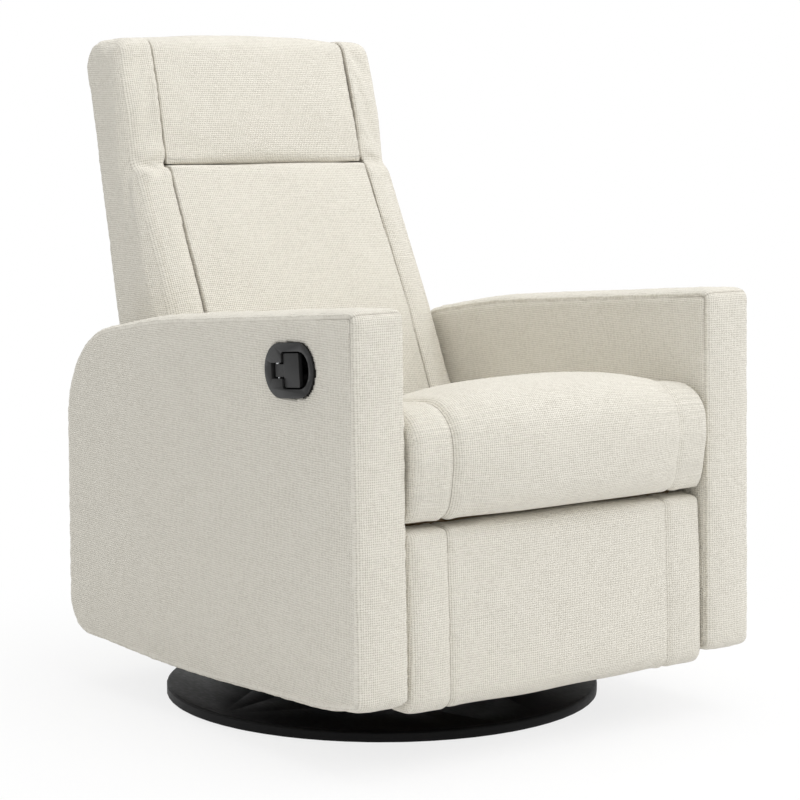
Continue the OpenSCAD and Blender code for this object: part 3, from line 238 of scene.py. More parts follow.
finishes = {
    "black_board": {
        "dark": (0.004, 0.004, 0.0042, 1), "light": (0.008, 0.008, 0.0085, 1),
        "grainScale": 260.0, "stretch": (1, 0.25, 1),
        "smooth": 0.46, "rough": 0.60, "bump": 0.0002, "gloss": 0.11},
    "glide_plastic": {
        "dark": (0.03, 0.03, 0.03, 1), "light": (0.05, 0.05, 0.05, 1),
        "grainScale": 900.0, "smooth": 0.45, "rough": 0.6, "bump": 0.0001},
    "black_steel": {
        "dark": (0.012, 0.012, 0.013, 1), "light": (0.024, 0.024, 0.026, 1),
        "grainScale": 1200.0, "smooth": 0.36, "rough": 0.52, "bump": 0.00025},
    "zinc_steel": {
        "dark": (0.42, 0.43, 0.45, 1), "light": (0.66, 0.67, 0.68, 1),
        "grainScale": 420.0, "smooth": 0.22, "rough": 0.40, "bump": 0.0001, "metal": 1.0},
    "spring_steel": {
        "dark": (0.12, 0.12, 0.13, 1), "light": (0.27, 0.27, 0.28, 1),
        "grainScale": 500.0, "smooth": 0.25, "rough": 0.42, "bump": 0.0001, "metal": 1.0},
    "nylon": {
        "dark": (0.50, 0.46, 0.37, 1), "light": (0.66, 0.61, 0.50, 1),
        "grainScale": 700.0, "smooth": 0.4, "rough": 0.55, "bump": 0.0001},
    "plywood": {
        "dark": (0.34, 0.21, 0.11, 1), "light": (0.66, 0.49, 0.31, 1),
        "grainScale": 90.0, "stretch": (1, 0.12, 1),
        "smooth": 0.55, "rough": 0.75, "bump": 0.0003},
    "webbing": {
        "dark": (0.02, 0.02, 0.02, 1), "light": (0.07, 0.07, 0.07, 1),
        "grainScale": 700.0, "stretch": (0.15, 1, 1),
        "smooth": 0.8, "rough": 0.95, "bump": 0.0006},
    "handle_plastic": {
        "dark": (0.009, 0.009, 0.0088, 1), "light": (0.016, 0.016, 0.0158, 1),
        "grainScale": 1500.0, "smooth": 0.32, "rough": 0.44, "bump": 0.00012, "gloss": 0.30},
    "paddle_plastic": {
        "dark": (0.017, 0.0172, 0.0172, 1), "light": (0.027, 0.0272, 0.0274, 1),
        "grainScale": 1800.0, "smooth": 0.42, "rough": 0.54, "bump": 0.00015, "gloss": 0.30},
    "thread": {
        "dark": (0.50, 0.46, 0.38, 1), "light": (0.70, 0.66, 0.57, 1),
        "grainScale": 2600.0, "smooth": 0.7, "rough": 0.85, "bump": 0.0001, "gloss": 0.2},
    "cable_sheath": {
        "dark": (0.008, 0.008, 0.008, 1), "light": (0.016, 0.016, 0.016, 1),
        "grainScale": 900.0, "smooth": 0.35, "rough": 0.5, "bump": 0.0001},
}
graining = {
    "grainShare": 0.55, "cloudShare": 0.45, "cloudScale": 0.05,     # of the grain's own scale
    "from": 0.30, "to": 0.70, "bumpShare": 0.4,
}


def grainedMaterial(name, settings):
    material, tree, shader = newMaterial(name)
    place = addNode(tree, "ShaderNodeTexCoord").outputs["Object"]
    stretch = settings.get("stretch", (1, 1, 1))
    place = addNode(tree, "ShaderNodeMapping", {"Vector": place, "Scale": stretch}).outputs[0]
    grain = noise(tree, place, settings["grainScale"], 5.0)
    cloud = noise(tree, place, settings["grainScale"] * graining["cloudScale"], 2.0)
    mixed = calc(tree, "ADD", calc(tree, "MULTIPLY", grain, graining["grainShare"]),
                 calc(tree, "MULTIPLY", cloud, graining["cloudShare"]))
    share = smoothRange(tree, mixed, graining["from"], graining["to"])
    colour = tint(tree, share, settings["dark"], settings["light"])
    rough = smoothRange(tree, mixed, graining["from"], graining["to"],
                        settings["smooth"], settings["rough"])
    bump = addNode(tree, "ShaderNodeBump", {"Height": grain, "Strength": graining["bumpShare"],
                                            "Distance": settings["bump"]})
    tree.links.new(colour, shader.inputs["Base Color"])
    tree.links.new(rough, shader.inputs["Roughness"])
    tree.links.new(bump.outputs[0], shader.inputs["Normal"])
    shader.inputs["Metallic"].default_value = settings.get("metal", 0.0)
    shader.inputs["Specular IOR Level"].default_value = settings.get("gloss", 0.5)
    return material


materials = {name: grainedMaterial(name, settings) for name, settings in finishes.items()}
materials["upholstery"] = clothMaterial("wovenCover", cloth)
print("materials:", len(materials))


def paint(piece, name):
    piece.data.materials.clear()
    piece.data.materials.append(materials[name])


# Outlines in the side plane

outlineSteps = 9            # parts of each rounded corner
cornerPoints = outlineSteps + 1


def turnOf(a, b):
    return math.degrees(math.atan2(b[1] - a[1], b[0] - a[0]))


# corners are (y, z, radius, weight forward, weight up), anticlockwise seen from +X
def roundedOutline(corners, steps=outlineSteps):
    outline = []
    for i, (y, z, radius, forward, upward) in enumerate(corners):
        before, after = corners[i - 1], corners[(i + 1) % len(corners)]
        back, ahead = turnOf((y, z), before), turnOf((y, z), after)
        opening = (back - ahead + 720) % 360
        side = 1 if opening < 180 else -1
        reach = side * radius / math.sin(math.radians(opening / 2))
        middle = math.radians(ahead + opening / 2)
        for k in range(steps + 1):
            face = back + 90 + k / steps * (180 - opening)
            turn = math.radians(face)
            outline.append((y + reach * math.cos(middle) + side * radius * math.cos(turn),
                            z + reach * math.sin(middle) + side * radius * math.sin(turn),
                            face, forward, upward))
    return np.array(outline)


def insetOutline(outline, depth):
    turn = np.radians(outline[:, 2])
    return np.stack([outline[:, 0] - depth * outline[:, 3] * np.cos(turn),
                     outline[:, 1] - depth * outline[:, 4] * np.sin(turn)], 1)


# closed form from rings at layers (x, inset)
# taper is (share lost per metre of height, height of full width)
def loftMesh(name, outline, layers, taper=(0, 0)):
    rings = []
    for x, depth in layers:
        ring = insetOutline(outline, depth)
        rings.append(np.column_stack([x * (1 - taper[0] * (ring[:, 1] - taper[1])), ring]))
    points = np.concatenate(rings)
    count = len(outline)
    faces = []
    for i in range(len(layers) - 1):
        for j in range(count):
            k = (j + 1) % count
            faces.append((i * count + j, (i + 1) * count + j, (i + 1) * count + k, i * count + k))
    faces.append(tuple(range(count)))
    faces.append(tuple(reversed(range((len(layers) - 1) * count, len(layers) * count))))
    mesh = bpy.data.meshes.new(name)
    mesh.from_pydata(points.tolist(), [], faces)
    return mesh


def linked(name, mesh):
    piece = bpy.data.objects.new(name, mesh)
    bpy.context.scene.collection.objects.link(piece)
    return piece


# the modifiers of a piece become its mesh
def baked(piece):
    bpy.context.view_layer.update()
    seen = piece.evaluated_get(bpy.context.evaluated_depsgraph_get())
    mesh = bpy.data.meshes.new_from_object(seen)
    piece.modifiers.clear()
    old = piece.data
    piece.data = mesh
    bpy.data.meshes.remove(old)
    return piece


def smoothShaded(piece):
    faces = piece.data.polygons
    faces.foreach_set("use_smooth", np.ones(len(faces), bool))


def vectorsOf(items, count, key):
    values = np.empty(count * 3, np.float32)
    items.foreach_get(key, values)
    return values.reshape(-1, 3).astype(float)


def pointsOf(mesh):
    return vectorsOf(mesh.vertices, len(mesh.vertices), "co")


def normalsOf(mesh):
    return vectorsOf(mesh.vertices, len(mesh.vertices), "normal")


def setPoints(mesh, points):
    mesh.vertices.foreach_set("co", points.astype(np.float32).ravel())
    mesh.update()


# smooth unevenness between about -1 and 1, the same in each run
def ripple(points, wavelength, seed, waves=7):
    chance = np.random.default_rng(seed)
    total = np.zeros(len(points))
    for _ in range(waves):
        way = chance.normal(size=3)
        way *= 2 * math.pi / wavelength * chance.uniform(0.6, 1.5) / np.linalg.norm(way)
        total += np.sin(points @ way + chance.uniform(0, 2 * math.pi))
    return total / math.sqrt(waves)


def fall(value, width):
    return np.exp(-(value / width) ** 2)


def step(value, low, high):
    share = np.clip((value - low) / (high - low), 0, 1)
    return share * share * (3 - 2 * share)


# nearest place on a closed outline: depth inside it, and the way along it from its first point
def alongOutline(outline, places):
    shortest = 1e-7         # sides under this are left out
    batch = 20000           # places worked out at a time
    a = outline[:, :2]
    b = np.roll(a, -1, 0)
    run = b - a
    length = np.linalg.norm(run, axis=1)
    keep = length > shortest
    a, run, length = a[keep], run[keep], length[keep]
    start = np.concatenate([[0], np.cumsum(length)[:-1]])
    inward = np.column_stack([-run[:, 1], run[:, 0]]) / length[:, None]
    depth = np.empty(len(places))
    way = np.empty(len(places))
    for first in range(0, len(places), batch):
        p = places[first:first + batch]
        offset = p[:, None, :] - a[None]
        share = np.clip((offset * run).sum(2) / length ** 2, 0, 1)
        gap = offset - share[..., None] * run
        distance = np.linalg.norm(gap, axis=2)
        best = distance.argmin(1)
        rows = np.arange(len(p))
        side = np.sign((gap[rows, best] * inward[best]).sum(1))
        depth[first:first + batch] = distance[rows, best] * np.where(side == 0, 1, side)
        way[first:first + batch] = start[best] + share[rows, best] * length[best]
    return depth, way


# Padded pieces: a close mesh first, then all of them swell together, then seams and folds

softPieces = []


def softForm(name, mesh, voxel, swell, free):
    piece = linked(name, mesh)
    remesh = piece.modifiers.new("closeMesh", "REMESH")
    remesh.mode = "VOXEL"
    remesh.voxel_size = voxel
    baked(piece)
    rest = pointsOf(piece.data)
    kept = piece.data.attributes.new("restPlace", "FLOAT_VECTOR", "POINT")
    kept.data.foreach_set("vector", rest.astype(np.float32).ravel())
    softPieces.append({"piece": piece, "rest": rest, "swell": swell, "free": free})
    print("form", name, len(piece.data.vertices))
    return piece


swelling = {
    "frames": 20, "pressure": 4.0, "mass": 0.3, "tension": 12.0, "bending": 0.6, "quality": 4,
    "heldUnder": 0.05,      # points freer than this may move
    "quickShare": 0.5,      # of the swell, where nothing is simulated
}


def addSwelling(soft, settings):
    piece = soft["piece"]
    held = piece.vertex_groups.new(name="held")
    loose = soft["free"](soft["rest"], normalsOf(piece.data))
    for index in np.flatnonzero(loose < settings["heldUnder"]):
        held.add([int(index)], 1.0, "REPLACE")
    modifier = piece.modifiers.new("swelling", "CLOTH")
    values = modifier.settings
    values.quality = settings["quality"]
    values.mass = settings["mass"]
    values.use_pressure = True
    values.uniform_pressure_force = settings["pressure"]
    values.tension_stiffness = settings["tension"]
    values.compression_stiffness = settings["tension"]
    values.bending_stiffness = settings["bending"]
    values.effector_weights.gravity = 0
    values.vertex_group_mass = "held"
    modifier.collision_settings.use_collision = False
    modifier.collision_settings.use_self_collision = False
    modifier.point_cache.frame_start = 1
    modifier.point_cache.frame_end = settings["frames"]


# how far a point has moved is capped at the piece's swell
def keepSwelling(soft, graph):
    least = 1e-9
    piece = soft["piece"]
    moved = pointsOf(piece.evaluated_get(graph).data) - soft["rest"]
    loose = soft["free"](soft["rest"], normalsOf(piece.data))
    far = np.linalg.norm(moved, axis=1)
    limit = soft["swell"] * loose + least
    moved *= (limit * np.tanh(far / limit) / np.maximum(far, least))[:, None]
    piece.modifiers.clear()
    piece.vertex_groups.clear()
    setPoints(piece.data, soft["rest"] + moved)
    print("swell", piece.name, "%.1f mm" % (1000 * np.linalg.norm(moved, axis=1).max()))


def swellAll(settings):
    for soft in softPieces:
        addSwelling(soft, settings)
    scene = bpy.context.scene
    for number in range(1, settings["frames"] + 1):
        scene.frame_set(number)
    graph = bpy.context.evaluated_depsgraph_get()
    for soft in softPieces:
        keepSwelling(soft, graph)
    scene.frame_set(1)


def refined(piece):
    modifier = piece.modifiers.new("finer", "SUBSURF")
    modifier.levels = modifier.render_levels = 1
    baked(piece)
    rest = vectorsOf(piece.data.attributes["restPlace"].data, len(piece.data.vertices), "vector")
    smoothShaded(piece)
    return rest


seamForm = {
    "faintest": 0.35,       # share of its depth that the faintest seam keeps
    "lipShare": 0.28, "lipPlace": 2.6, "lipWidth": 1.6,     # the cloth stands up beside a seam
    "puckerLong": 0.026, "puckerShort": 0.011, "longShare": 0.6, "puckerReach": 0.020,
    "unevenness": 0.0007, "unevenLength": 0.16, "unevenFrom": 0.03,
    "farOff": 1.0,          # stands where a piece has fewer than three seams
}


# seams is an array of up to three signed distances for each point, in metres
# sewing is (depth, width, pucker)
# shade sets how deep each seam's groove is and how dark its painted shadow is
def sewn(piece, rest, seams, sewing, seed, shift=None, shade=1.0):
    form = seamForm
    depth, width, pucker = sewing
    points, normal = pointsOf(piece.data), normalsOf(piece.data)
    near = np.abs(seams).min(1)
    shades = np.broadcast_to(np.asarray(shade, float), near.shape)
    depth = depth * (form["faintest"] + (1 - form["faintest"]) * shades)
    lip = fall(near - form["lipPlace"] * width, form["lipWidth"] * width)
    push = -depth * fall(near, width) + form["lipShare"] * depth * lip
    along = ripple(rest, form["puckerLong"], seed) * form["longShare"]
    along += ripple(rest, form["puckerShort"], seed + 1) * (1 - form["longShare"])
    push += pucker * along * fall(near, form["puckerReach"]) * (near > 0)
    uneven = form["unevenness"] * ripple(rest, form["unevenLength"], seed + 2)
    push += uneven * step(near, 0, form["unevenFrom"])
    if shift is not None:
        push += shift
    setPoints(piece.data, points + normal * push[:, None])
    field = piece.data.attributes.new("seams", "FLOAT_VECTOR", "POINT")
    padded = np.full((len(seams), 3), form["farOff"])
    padded[:, :seams.shape[1]] = seams
    field.data.foreach_set("vector", padded.astype(np.float32).ravel())
    # painted shadow: how strongly the seam's painted shadow darkens the cloth at each point
    dark = piece.data.attributes.new("seamShade", "FLOAT", "POINT")
    dark.data.foreach_set("value", shades.astype(np.float32))


# the cloth runs along the outline on wrapped faces, and in the side plane on end faces
def woven(piece, rest, outline, isEnd):
    mesh = piece.data
    depth, way = alongOutline(outline, rest[:, 1:])
    wrapped = np.column_stack([rest[:, 0], way])
    flat = rest[:, 1:].copy()
    corners = np.empty(len(mesh.loops), np.int32)
    mesh.loops.foreach_get("vertex_index", corners)
    starts = np.empty(len(mesh.polygons), np.int32)
    totals = np.empty(len(mesh.polygons), np.int32)
    mesh.polygons.foreach_get("loop_start", starts)
    mesh.polygons.foreach_get("loop_total", totals)
    owner = np.repeat(np.arange(len(totals)), totals)
    ends = isEnd(rest, depth).astype(float)
    share = np.bincount(owner, ends[corners], len(totals)) / totals
    onEnd = (share > 0.5)[owner]
    value = np.where(onEnd[:, None], flat[corners], wrapped[corners])
    closed = np.vstack([outline[:, :2], outline[:1, :2]])
    whole = np.linalg.norm(np.diff(closed, axis=0), axis=1).sum()
    first = value[starts][owner, 1]
    around = first + (value[:, 1] - first + whole / 2) % whole - whole / 2
    value[:, 1] = np.where(onEnd, value[:, 1], around)
    layer = mesh.uv_layers.new(name="weave")
    layer.data.foreach_set("uv", value.astype(np.float32).ravel())


# Layers: places across a piece, each with its inset

edgeTurn = 86               # degrees of a rounded edge, a little short of flat


def mirroredLayers(half):
    return [(-x, d) for x, d in reversed(half[1:])] + half


def edgeLayers(x, depth, radius, steps=5):
    arc = math.radians(edgeTurn)
    return [(x + radius * math.sin(arc * k / steps),
             depth + radius * (1 - math.cos(arc * k / steps))) for k in range(1, steps + 1)]


# the same on the side that faces the middle of the chair
def innerEdgeLayers(x, depth, radius, turn, steps, count=4):
    arc = math.radians(turn)
    return [(x + radius * (1 - math.sin(arc * k / steps)),
             depth + radius * (1 - math.cos(arc * k / steps))) for k in range(count, 0, -1)]


# Arms: a flat padded board each, with a boxing strip sewn round its edge

arm = {
    "frontIn": 0.0014, "rearIn": 0.0019, "bottomIn": 0.0007, "topIn": 0.0005, "heelIn": 0.0003,
    "toeRise": 0.031, "heelRise": 0.008, "bellyPlace": 0.020, "midPlace": 0.080, "midDrop": 0.045,
    "shinPlace": -0.360, "shinRise": 0.016, "shinRadius": 0.25,
    "rearDrop": 0.094, "lean": 0.015, "toeRadius": 0.014, "heelRadius": 0.060,
    "sweepRadius": 0.160, "browRadius": 0.016, "bellyRadius": 3.0, "topRadius": 1.4,
    "edge": 0.0115,         # rounding of the board's edges
    "slack": 0.0012,        # the form starts this much smaller than the cover
    "innerSlack": 0.3,      # share of it on the side of the seat
    "swell": 0.007, "panelShare": 0.75, "panelFade": 0.05,
    "stripShare": 0.55, "stripFade": 0.035,
    "voxel": 0.007,
    "sewing": (0.0013, 0.0030, 0.0006),
    "seamIn": 0.0105,       # seam of the side panels, in from the outline
    "stripFrom": (-0.002, 0.001),
    "nick": 0.0016,         # small open place where the strip's seam meets the panel's
    # the nick is painted dark, standing for shade inside the small opening
    "nickShare": 0.55, "nickBack": 0.0002, "nickShade": 1.4,
    # the painted seam shadow is darker there, and the grooves deeper
    "seamShade": 0.10, "highShade": 0.30, "aheadShade": 0.55,       # the seams show more there
    "high": (0.50, 0.60), "ahead": (0.30, 0.42),
    "edgeFaint": 0.92, "edgeFront": (0.430, 0.437), "edgeTop": (0.628, 0.64),
}


def armCorners(settings, low, high):
    front = low.y + settings["frontIn"]
    rear = high.y - settings["rearIn"]
    bottom = low.z + settings["bottomIn"]
    top = high.z - settings["topIn"]
    return [
        (front, bottom + settings["toeRise"], settings["toeRadius"], 1, 1),
        (settings["shinPlace"], bottom + settings["shinRise"], settings["shinRadius"], 1, 1),
        (settings["bellyPlace"], bottom, settings["bellyRadius"], 1, 1),
        (rear - settings["heelIn"], bottom + settings["heelRise"], settings["heelRadius"], 1, 1),
        (rear, top - settings["rearDrop"], settings["sweepRadius"], 1, 1),
        (settings["midPlace"], top - settings["midDrop"], settings["topRadius"], 1, 1),
        (front + settings["lean"], top, settings["browRadius"], 1, 1),      # the brow is the last
    ]


def makeArm(name, node, side, settings):
    low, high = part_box(node)
    inner, outer = min(abs(low.x), abs(high.x)), max(abs(low.x), abs(high.x))
    outline = roundedOutline(armCorners(settings, low, high))
    edge, slack = settings["edge"], settings["slack"]
    start = inner + slack * settings["innerSlack"]
    layers = [(start, edge + slack)] + innerEdgeLayers(start, slack, edge, edgeTurn, 5)
    layers += [(inner + edge, slack), (outer - edge, slack)]
    layers += edgeLayers(outer - slack - edge, slack, edge)
    layers = [(side * x, d) for x, d in (layers if side > 0 else reversed(layers))]

    def free(rest, normal):
        depth, way = alongOutline(outline, rest[:, 1:])
        inside = step(depth, settings["seamIn"], settings["seamIn"] + settings["panelFade"])
        middle = np.abs(rest[:, 0]) - (inner + outer) / 2
        strip = (np.abs(normal[:, 0]) < 0.5) * fall(middle, settings["stripFade"])
        return np.maximum(inside * settings["panelShare"], settings["stripShare"] * strip)

    mesh = loftMesh(name, outline, layers)
    piece = softForm(name, mesh, settings["voxel"], settings["swell"], free)
    return {"piece": piece, "outline": outline, "node": node, "settings": settings}


armLeft = makeArm("armCoverLeft", "arm_cover_left", 1, arm)
armRight = makeArm("armCoverRight", "arm_cover_right", -1, arm)


# Seat cushion: a crowned middle between two sewn channels

seat = {
    "frontIn": 0.0022, "lipIn": 0.010, "lipRadius": 0.050,
    "rearLow": 0.070, "rearLowRadius": 0.012,
    "rearTop": 0.114, "rearHeight": 0.448, "rearTopRadius": 0.022,
    "dipPlace": -0.120, "dipHeight": 0.484, "midPlace": -0.310, "midHeight": 0.538,
    "topRadius": 0.4,
    "noseIn": 0.008, "noseRise": 0.0100, "noseRadius": 0.086,
    "bellyOut": 0.003, "noseHeight": 0.437, "bellyRadius": 0.100,
    "forward": 0.85,        # share of the crown that the front has
    "channel": 0.214,       # half the width between the sewn channels
    "besideChannel": ((0.006, 0.002), (0.020, 0.001)),      # (out from it, up from the sides)
    "crown": 0.022, "crownShare": 2.9, "sideDrop": 0.0035, "edge": 0.020,
    "slack": 0.004, "swell": 0.009, "voxel": 0.0065,
    "openFrom": (0.002, 0.055), "openAbove": (0.004, 0.06), "openAhead": (-0.10, -0.02),
    "openInside": (-0.001, 0.012),
    "sewing": (0.0040, 0.0055, 0.0006), "seamShade": 0.9, "leftFainter": 0.55, "endIn": 0.006,
}


def makeSeat(settings):
    low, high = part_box("seat_cushion")
    front = low.y + settings["frontIn"]
    bottom, top = low.z, high.z + settings["noseRise"]
    slack, forward = settings["slack"], settings["forward"]
    corners = [
        (front + settings["lipIn"], bottom, settings["lipRadius"], forward, 0),
        (settings["rearLow"], bottom, settings["rearLowRadius"], 0, 0),
        (settings["rearTop"], settings["rearHeight"], settings["rearTopRadius"], 0.5, 0.5),
        (settings["dipPlace"], settings["dipHeight"], settings["topRadius"], 1, 1),
        (settings["midPlace"], settings["midHeight"], settings["topRadius"], 1, 1),
        (front + settings["noseIn"], top, settings["noseRadius"], forward, 1),
        (front - settings["bellyOut"], settings["noseHeight"], settings["bellyRadius"],
         forward, 1),
    ]
    outline = roundedOutline(corners)
    half, crown = settings["channel"], settings["crown"]
    wide, side = high.x, slack + crown + settings["sideDrop"]
    layers = [(half * k / 10, slack + crown * (k / 10) ** settings["crownShare"])
              for k in range(11)]
    layers += [(half + out, side - up) for out, up in settings["besideChannel"]]
    layers += edgeLayers(wide - settings["edge"], side, settings["edge"])

    def free(rest, normal):
        open_ = step(np.abs(np.abs(rest[:, 0]) - half), *settings["openFrom"])
        above = step(rest[:, 2], *(bottom + reach for reach in settings["openAbove"]))
        shown = above * step(-rest[:, 1], *settings["openAhead"])
        return open_ * shown * step(wide - np.abs(rest[:, 0]), *settings["openInside"])

    mesh = loftMesh("seatCover", outline, mirroredLayers(layers))
    piece = softForm("seatCover", mesh, settings["voxel"], settings["swell"], free)
    return {"piece": piece, "outline": outline, "wide": wide}


seatMade = makeSeat(seat)


# Back: headrest and lumbar cushions between two bolsters, with a cover behind

back = {
    "slope": (0.490 - 0.313) / (1.036 - 0.352),     # of its rear, back for each metre of height
    "rearLow": 0.313, "lowHeight": 0.352, "top": 1.048, "crease": 0.8345, "deck": 0.356,
    "taper": 0.072, "seamPlace": 0.206, "rearDepth": 0.0565, "halfWidth": 0.2745,
    "faceHeight": 0.605, "faceRadius": 0.600, "footRise": 0.048,
    "shoulderPlace": 0.498, "shoulderDrop": 0.012, "shoulderRadius": 0.046,
    "rearPuff": 0.003,      # the bolsters and the rear cover stand this much fuller behind
    "crown": 0.010, "edge": 0.003, "slack": 0.0012, "swell": 0.009, "voxel": 0.0044,
    "creaseGap": 0.0006, "seamGap": 0.0002,
}
backTaper = (back["taper"] / (back["top"] - back["deck"]), back["deck"])


def backRear(height, depth):
    return back["rearLow"] + back["slope"] * (height - back["lowHeight"]) - depth


def backShare(height):
    return 1 - backTaper[0] * (height - backTaper[1])


bolster = {
    "footFace": 0.114, "footRadius": 0.016,
    "rearRadius": 0.014, "rearShare": 0.3,
    "browFace": 0.379, "browDrop": 0.005, "browRadius": 0.028, "browShare": 0.8,
    "headFace": 0.3415, "headRise": 0.090, "headRadius": 0.200,
    "stepFace": 0.3275, "stepRise": 0.007, "stepRadius": 0.014,
    "underFace": 0.3125, "underDrop": 0.005, "underRadius": 0.030, "underShare": 0.9,
    "midFace": 0.2025,
    "inEdge": 0.002, "inTurn": 80, "slackShare": 0.7, "outSlack": 0.5,
    "rounding": 0.030,      # of the edge that shows from the side
    "swellShare": 0.7, "rearSwell": 0.4,
    "openFrom": (0.002, 0.03), "openAbove": (0.36, 0.42),
    "stripSeam": 0.024,     # seam of the side strip, out from where the rounding starts
    "stripDepth": 0.030, "seamShades": (0.7, 0.16), "sewing": (0.0010, 0.0032, 0.0003),
    "creaseFace": 0.329, "frontFade": (-0.022, -0.004), "rearFade": (-0.50, -0.40),
    # folds at the crease, each (out, up from the crease, width)
    "tucks": ((-0.0045, 0.0, 0.007), (0.0022, 0.022, 0.014), (0.0016, -0.020, 0.012)),
}


def bolsterCorners(settings):
    place, crease, puff = back["shoulderPlace"], back["crease"], back["rearPuff"]
    share, brow, under = settings["rearShare"], settings["browShare"], settings["underShare"]
    return [
        (settings["footFace"], back["lowHeight"] + back["footRise"], settings["footRadius"], 1, 1),
        (back["rearLow"] + puff, back["lowHeight"], settings["rearRadius"], share, share),
        (place + puff, back["top"] - back["shoulderDrop"], back["shoulderRadius"], share, share),
        (settings["browFace"], back["top"] - settings["browDrop"], settings["browRadius"],
         brow, brow),
        (settings["headFace"], crease + settings["headRise"], settings["headRadius"], 1, 1),
        (settings["stepFace"], crease + settings["stepRise"], settings["stepRadius"], 1, 1),
        (settings["underFace"], crease - settings["underDrop"], settings["underRadius"],
         under, under),
        (settings["midFace"], back["faceHeight"], back["faceRadius"], 1, 1),
    ]


bolsterOutline = roundedOutline(bolsterCorners(bolster))
bolsterInner = back["seamPlace"] + back["seamGap"]


def bolsterLayers(settings):
    depth = back["slack"] * settings["slackShare"]
    edge = back["halfWidth"] - settings["rounding"] - back["slack"] * settings["outSlack"]
    layers = innerEdgeLayers(bolsterInner, depth, settings["inEdge"], settings["inTurn"], 4)
    return layers + [(edge, depth)] + edgeLayers(edge, depth, settings["rounding"], 7)


def bolsterFree(rest, normal):
    x = np.abs(rest[:, 0]) / backShare(rest[:, 2])
    side = step(x - bolsterInner, *bolster["openFrom"])
    low = step(rest[:, 2], *bolster["openAbove"])
    return side * low * np.where(normal[:, 1] > 0.4, bolster["rearSwell"], 1.0)


def makeBolster(name, side, settings):
    layers = bolsterLayers(settings)
    layers = [(side * x, d) for x, d in (layers if side > 0 else reversed(layers))]
    mesh = loftMesh(name, bolsterOutline, layers, backTaper)
    return softForm(name, mesh, back["voxel"], back["swell"] * settings["swellShare"], bolsterFree)


bolsterForms = {name: makeBolster(name, side, bolster)
                for name, side in (("bolsterCoverLeft", 1), ("bolsterCoverRight", -1))}


centre = {
    "openFrom": (0.002, 0.05), "ends": 0.03, "frontFacing": 0.35,
    "sewing": (0.0, 0.004, 0.0002), "seamIn": 0.001, "endIn": 0.002, "seamShade": 0.6,
}


def centreLayers():
    slack, crown, edge = back["slack"], back["crown"], back["edge"]
    side = back["seamPlace"] - back["seamGap"] - edge
    half = [(side * k / 8, slack + (crown - slack) * (k / 8) ** 3) for k in range(9)]
    return mirroredLayers(half + edgeLayers(side, crown, edge))


def centreFree(low, high):
    def free(rest, normal):
        width = back["seamPlace"] * backShare(rest[:, 2])
        side = step(width - np.abs(rest[:, 0]), *centre["openFrom"])
        ends = centre["ends"]
        shown = (normal[:, 1] < centre["frontFacing"]) * step(rest[:, 2], low, low + ends)
        return side * (shown * step(-rest[:, 2], -high, -high + ends))
    return free


def makeCentre(name, corners, low, high):
    outline = roundedOutline(corners)
    mesh = loftMesh(name, outline, centreLayers(), backTaper)
    piece = softForm(name, mesh, back["voxel"], back["swell"], centreFree(low, high))
    return {"piece": piece, "outline": outline}


headrest = {
    "lowFace": 0.316, "lowRadius": 0.009, "lowShare": 0.05, "rearRadius": 0.006,
    "capDrop": 0.003, "capRadius": 0.008, "capShare": 0.4,
    "browFace": 0.374, "browRise": 0.003, "browRadius": 0.034,
    "midFace": 0.331, "midRise": 0.070, "midRadius": 0.300,
    "openBelow": 0.012, "openAbove": 0.02,
}


def makeHeadrest(settings):
    low = back["crease"] + back["creaseGap"]
    cap, depth, share = back["top"] - settings["capDrop"], back["rearDepth"], settings["capShare"]
    corners = [
        (settings["lowFace"], low, settings["lowRadius"], 1, settings["lowShare"]),
        (backRear(low, depth), low, settings["rearRadius"], 0, 0),
        (backRear(cap, depth), cap, settings["capRadius"], share, share),
        (settings["browFace"], back["top"] + settings["browRise"], settings["browRadius"], 1, 1),
        (settings["midFace"], back["crease"] + settings["midRise"], settings["midRadius"], 1, 1),
    ]
    return makeCentre("headrestCover", corners, low - settings["openBelow"],
                      back["top"] + settings["openAbove"])


lumbar = {
    "lowRise": 0.024, "footFace": 0.104, "footRadius": 0.018,
    "rearRadius": 0.010, "topRearRadius": 0.006,
    "topFace": 0.307, "topRadius": 0.011, "topShare": 0.05, "midFace": 0.188,
    "openAbove": 0.004,
}


def makeLumbar(settings):
    low, depth = back["lowHeight"] + settings["lowRise"], back["rearDepth"]
    top = back["crease"] - back["creaseGap"]
    corners = [
        (settings["footFace"], back["lowHeight"] + back["footRise"], settings["footRadius"], 1, 1),
        (backRear(low, depth), low, settings["rearRadius"], 0, 0),
        (backRear(top, depth), top, settings["topRearRadius"], 0, 0),
        (settings["topFace"], top, settings["topRadius"], 1, settings["topShare"]),
        (settings["midFace"], back["faceHeight"], back["faceRadius"], 1, 1),
    ]
    return makeCentre("lumbarCover", corners, low, top + settings["openAbove"])


headrestMade = makeHeadrest(headrest)
lumbarMade = makeLumbar(lumbar)


rearCover = {
    "depth": 0.0298, "toeDrop": 0.004, "toeIn": 0.0004, "stepHeight": 1.009,
    "frontRadius": 0.004, "rearRadius": 0.012, "toeRadius": 0.006, "stepRadius": 0.003,
    "share": 0.4, "sideIn": 0.0006, "edge": 0.008, "slack": 0.002, "swell": 0.006,
    "openFrom": (0.002, 0.04), "openAbove": (0.352, 0.40), "rearFacing": 0.3,
}


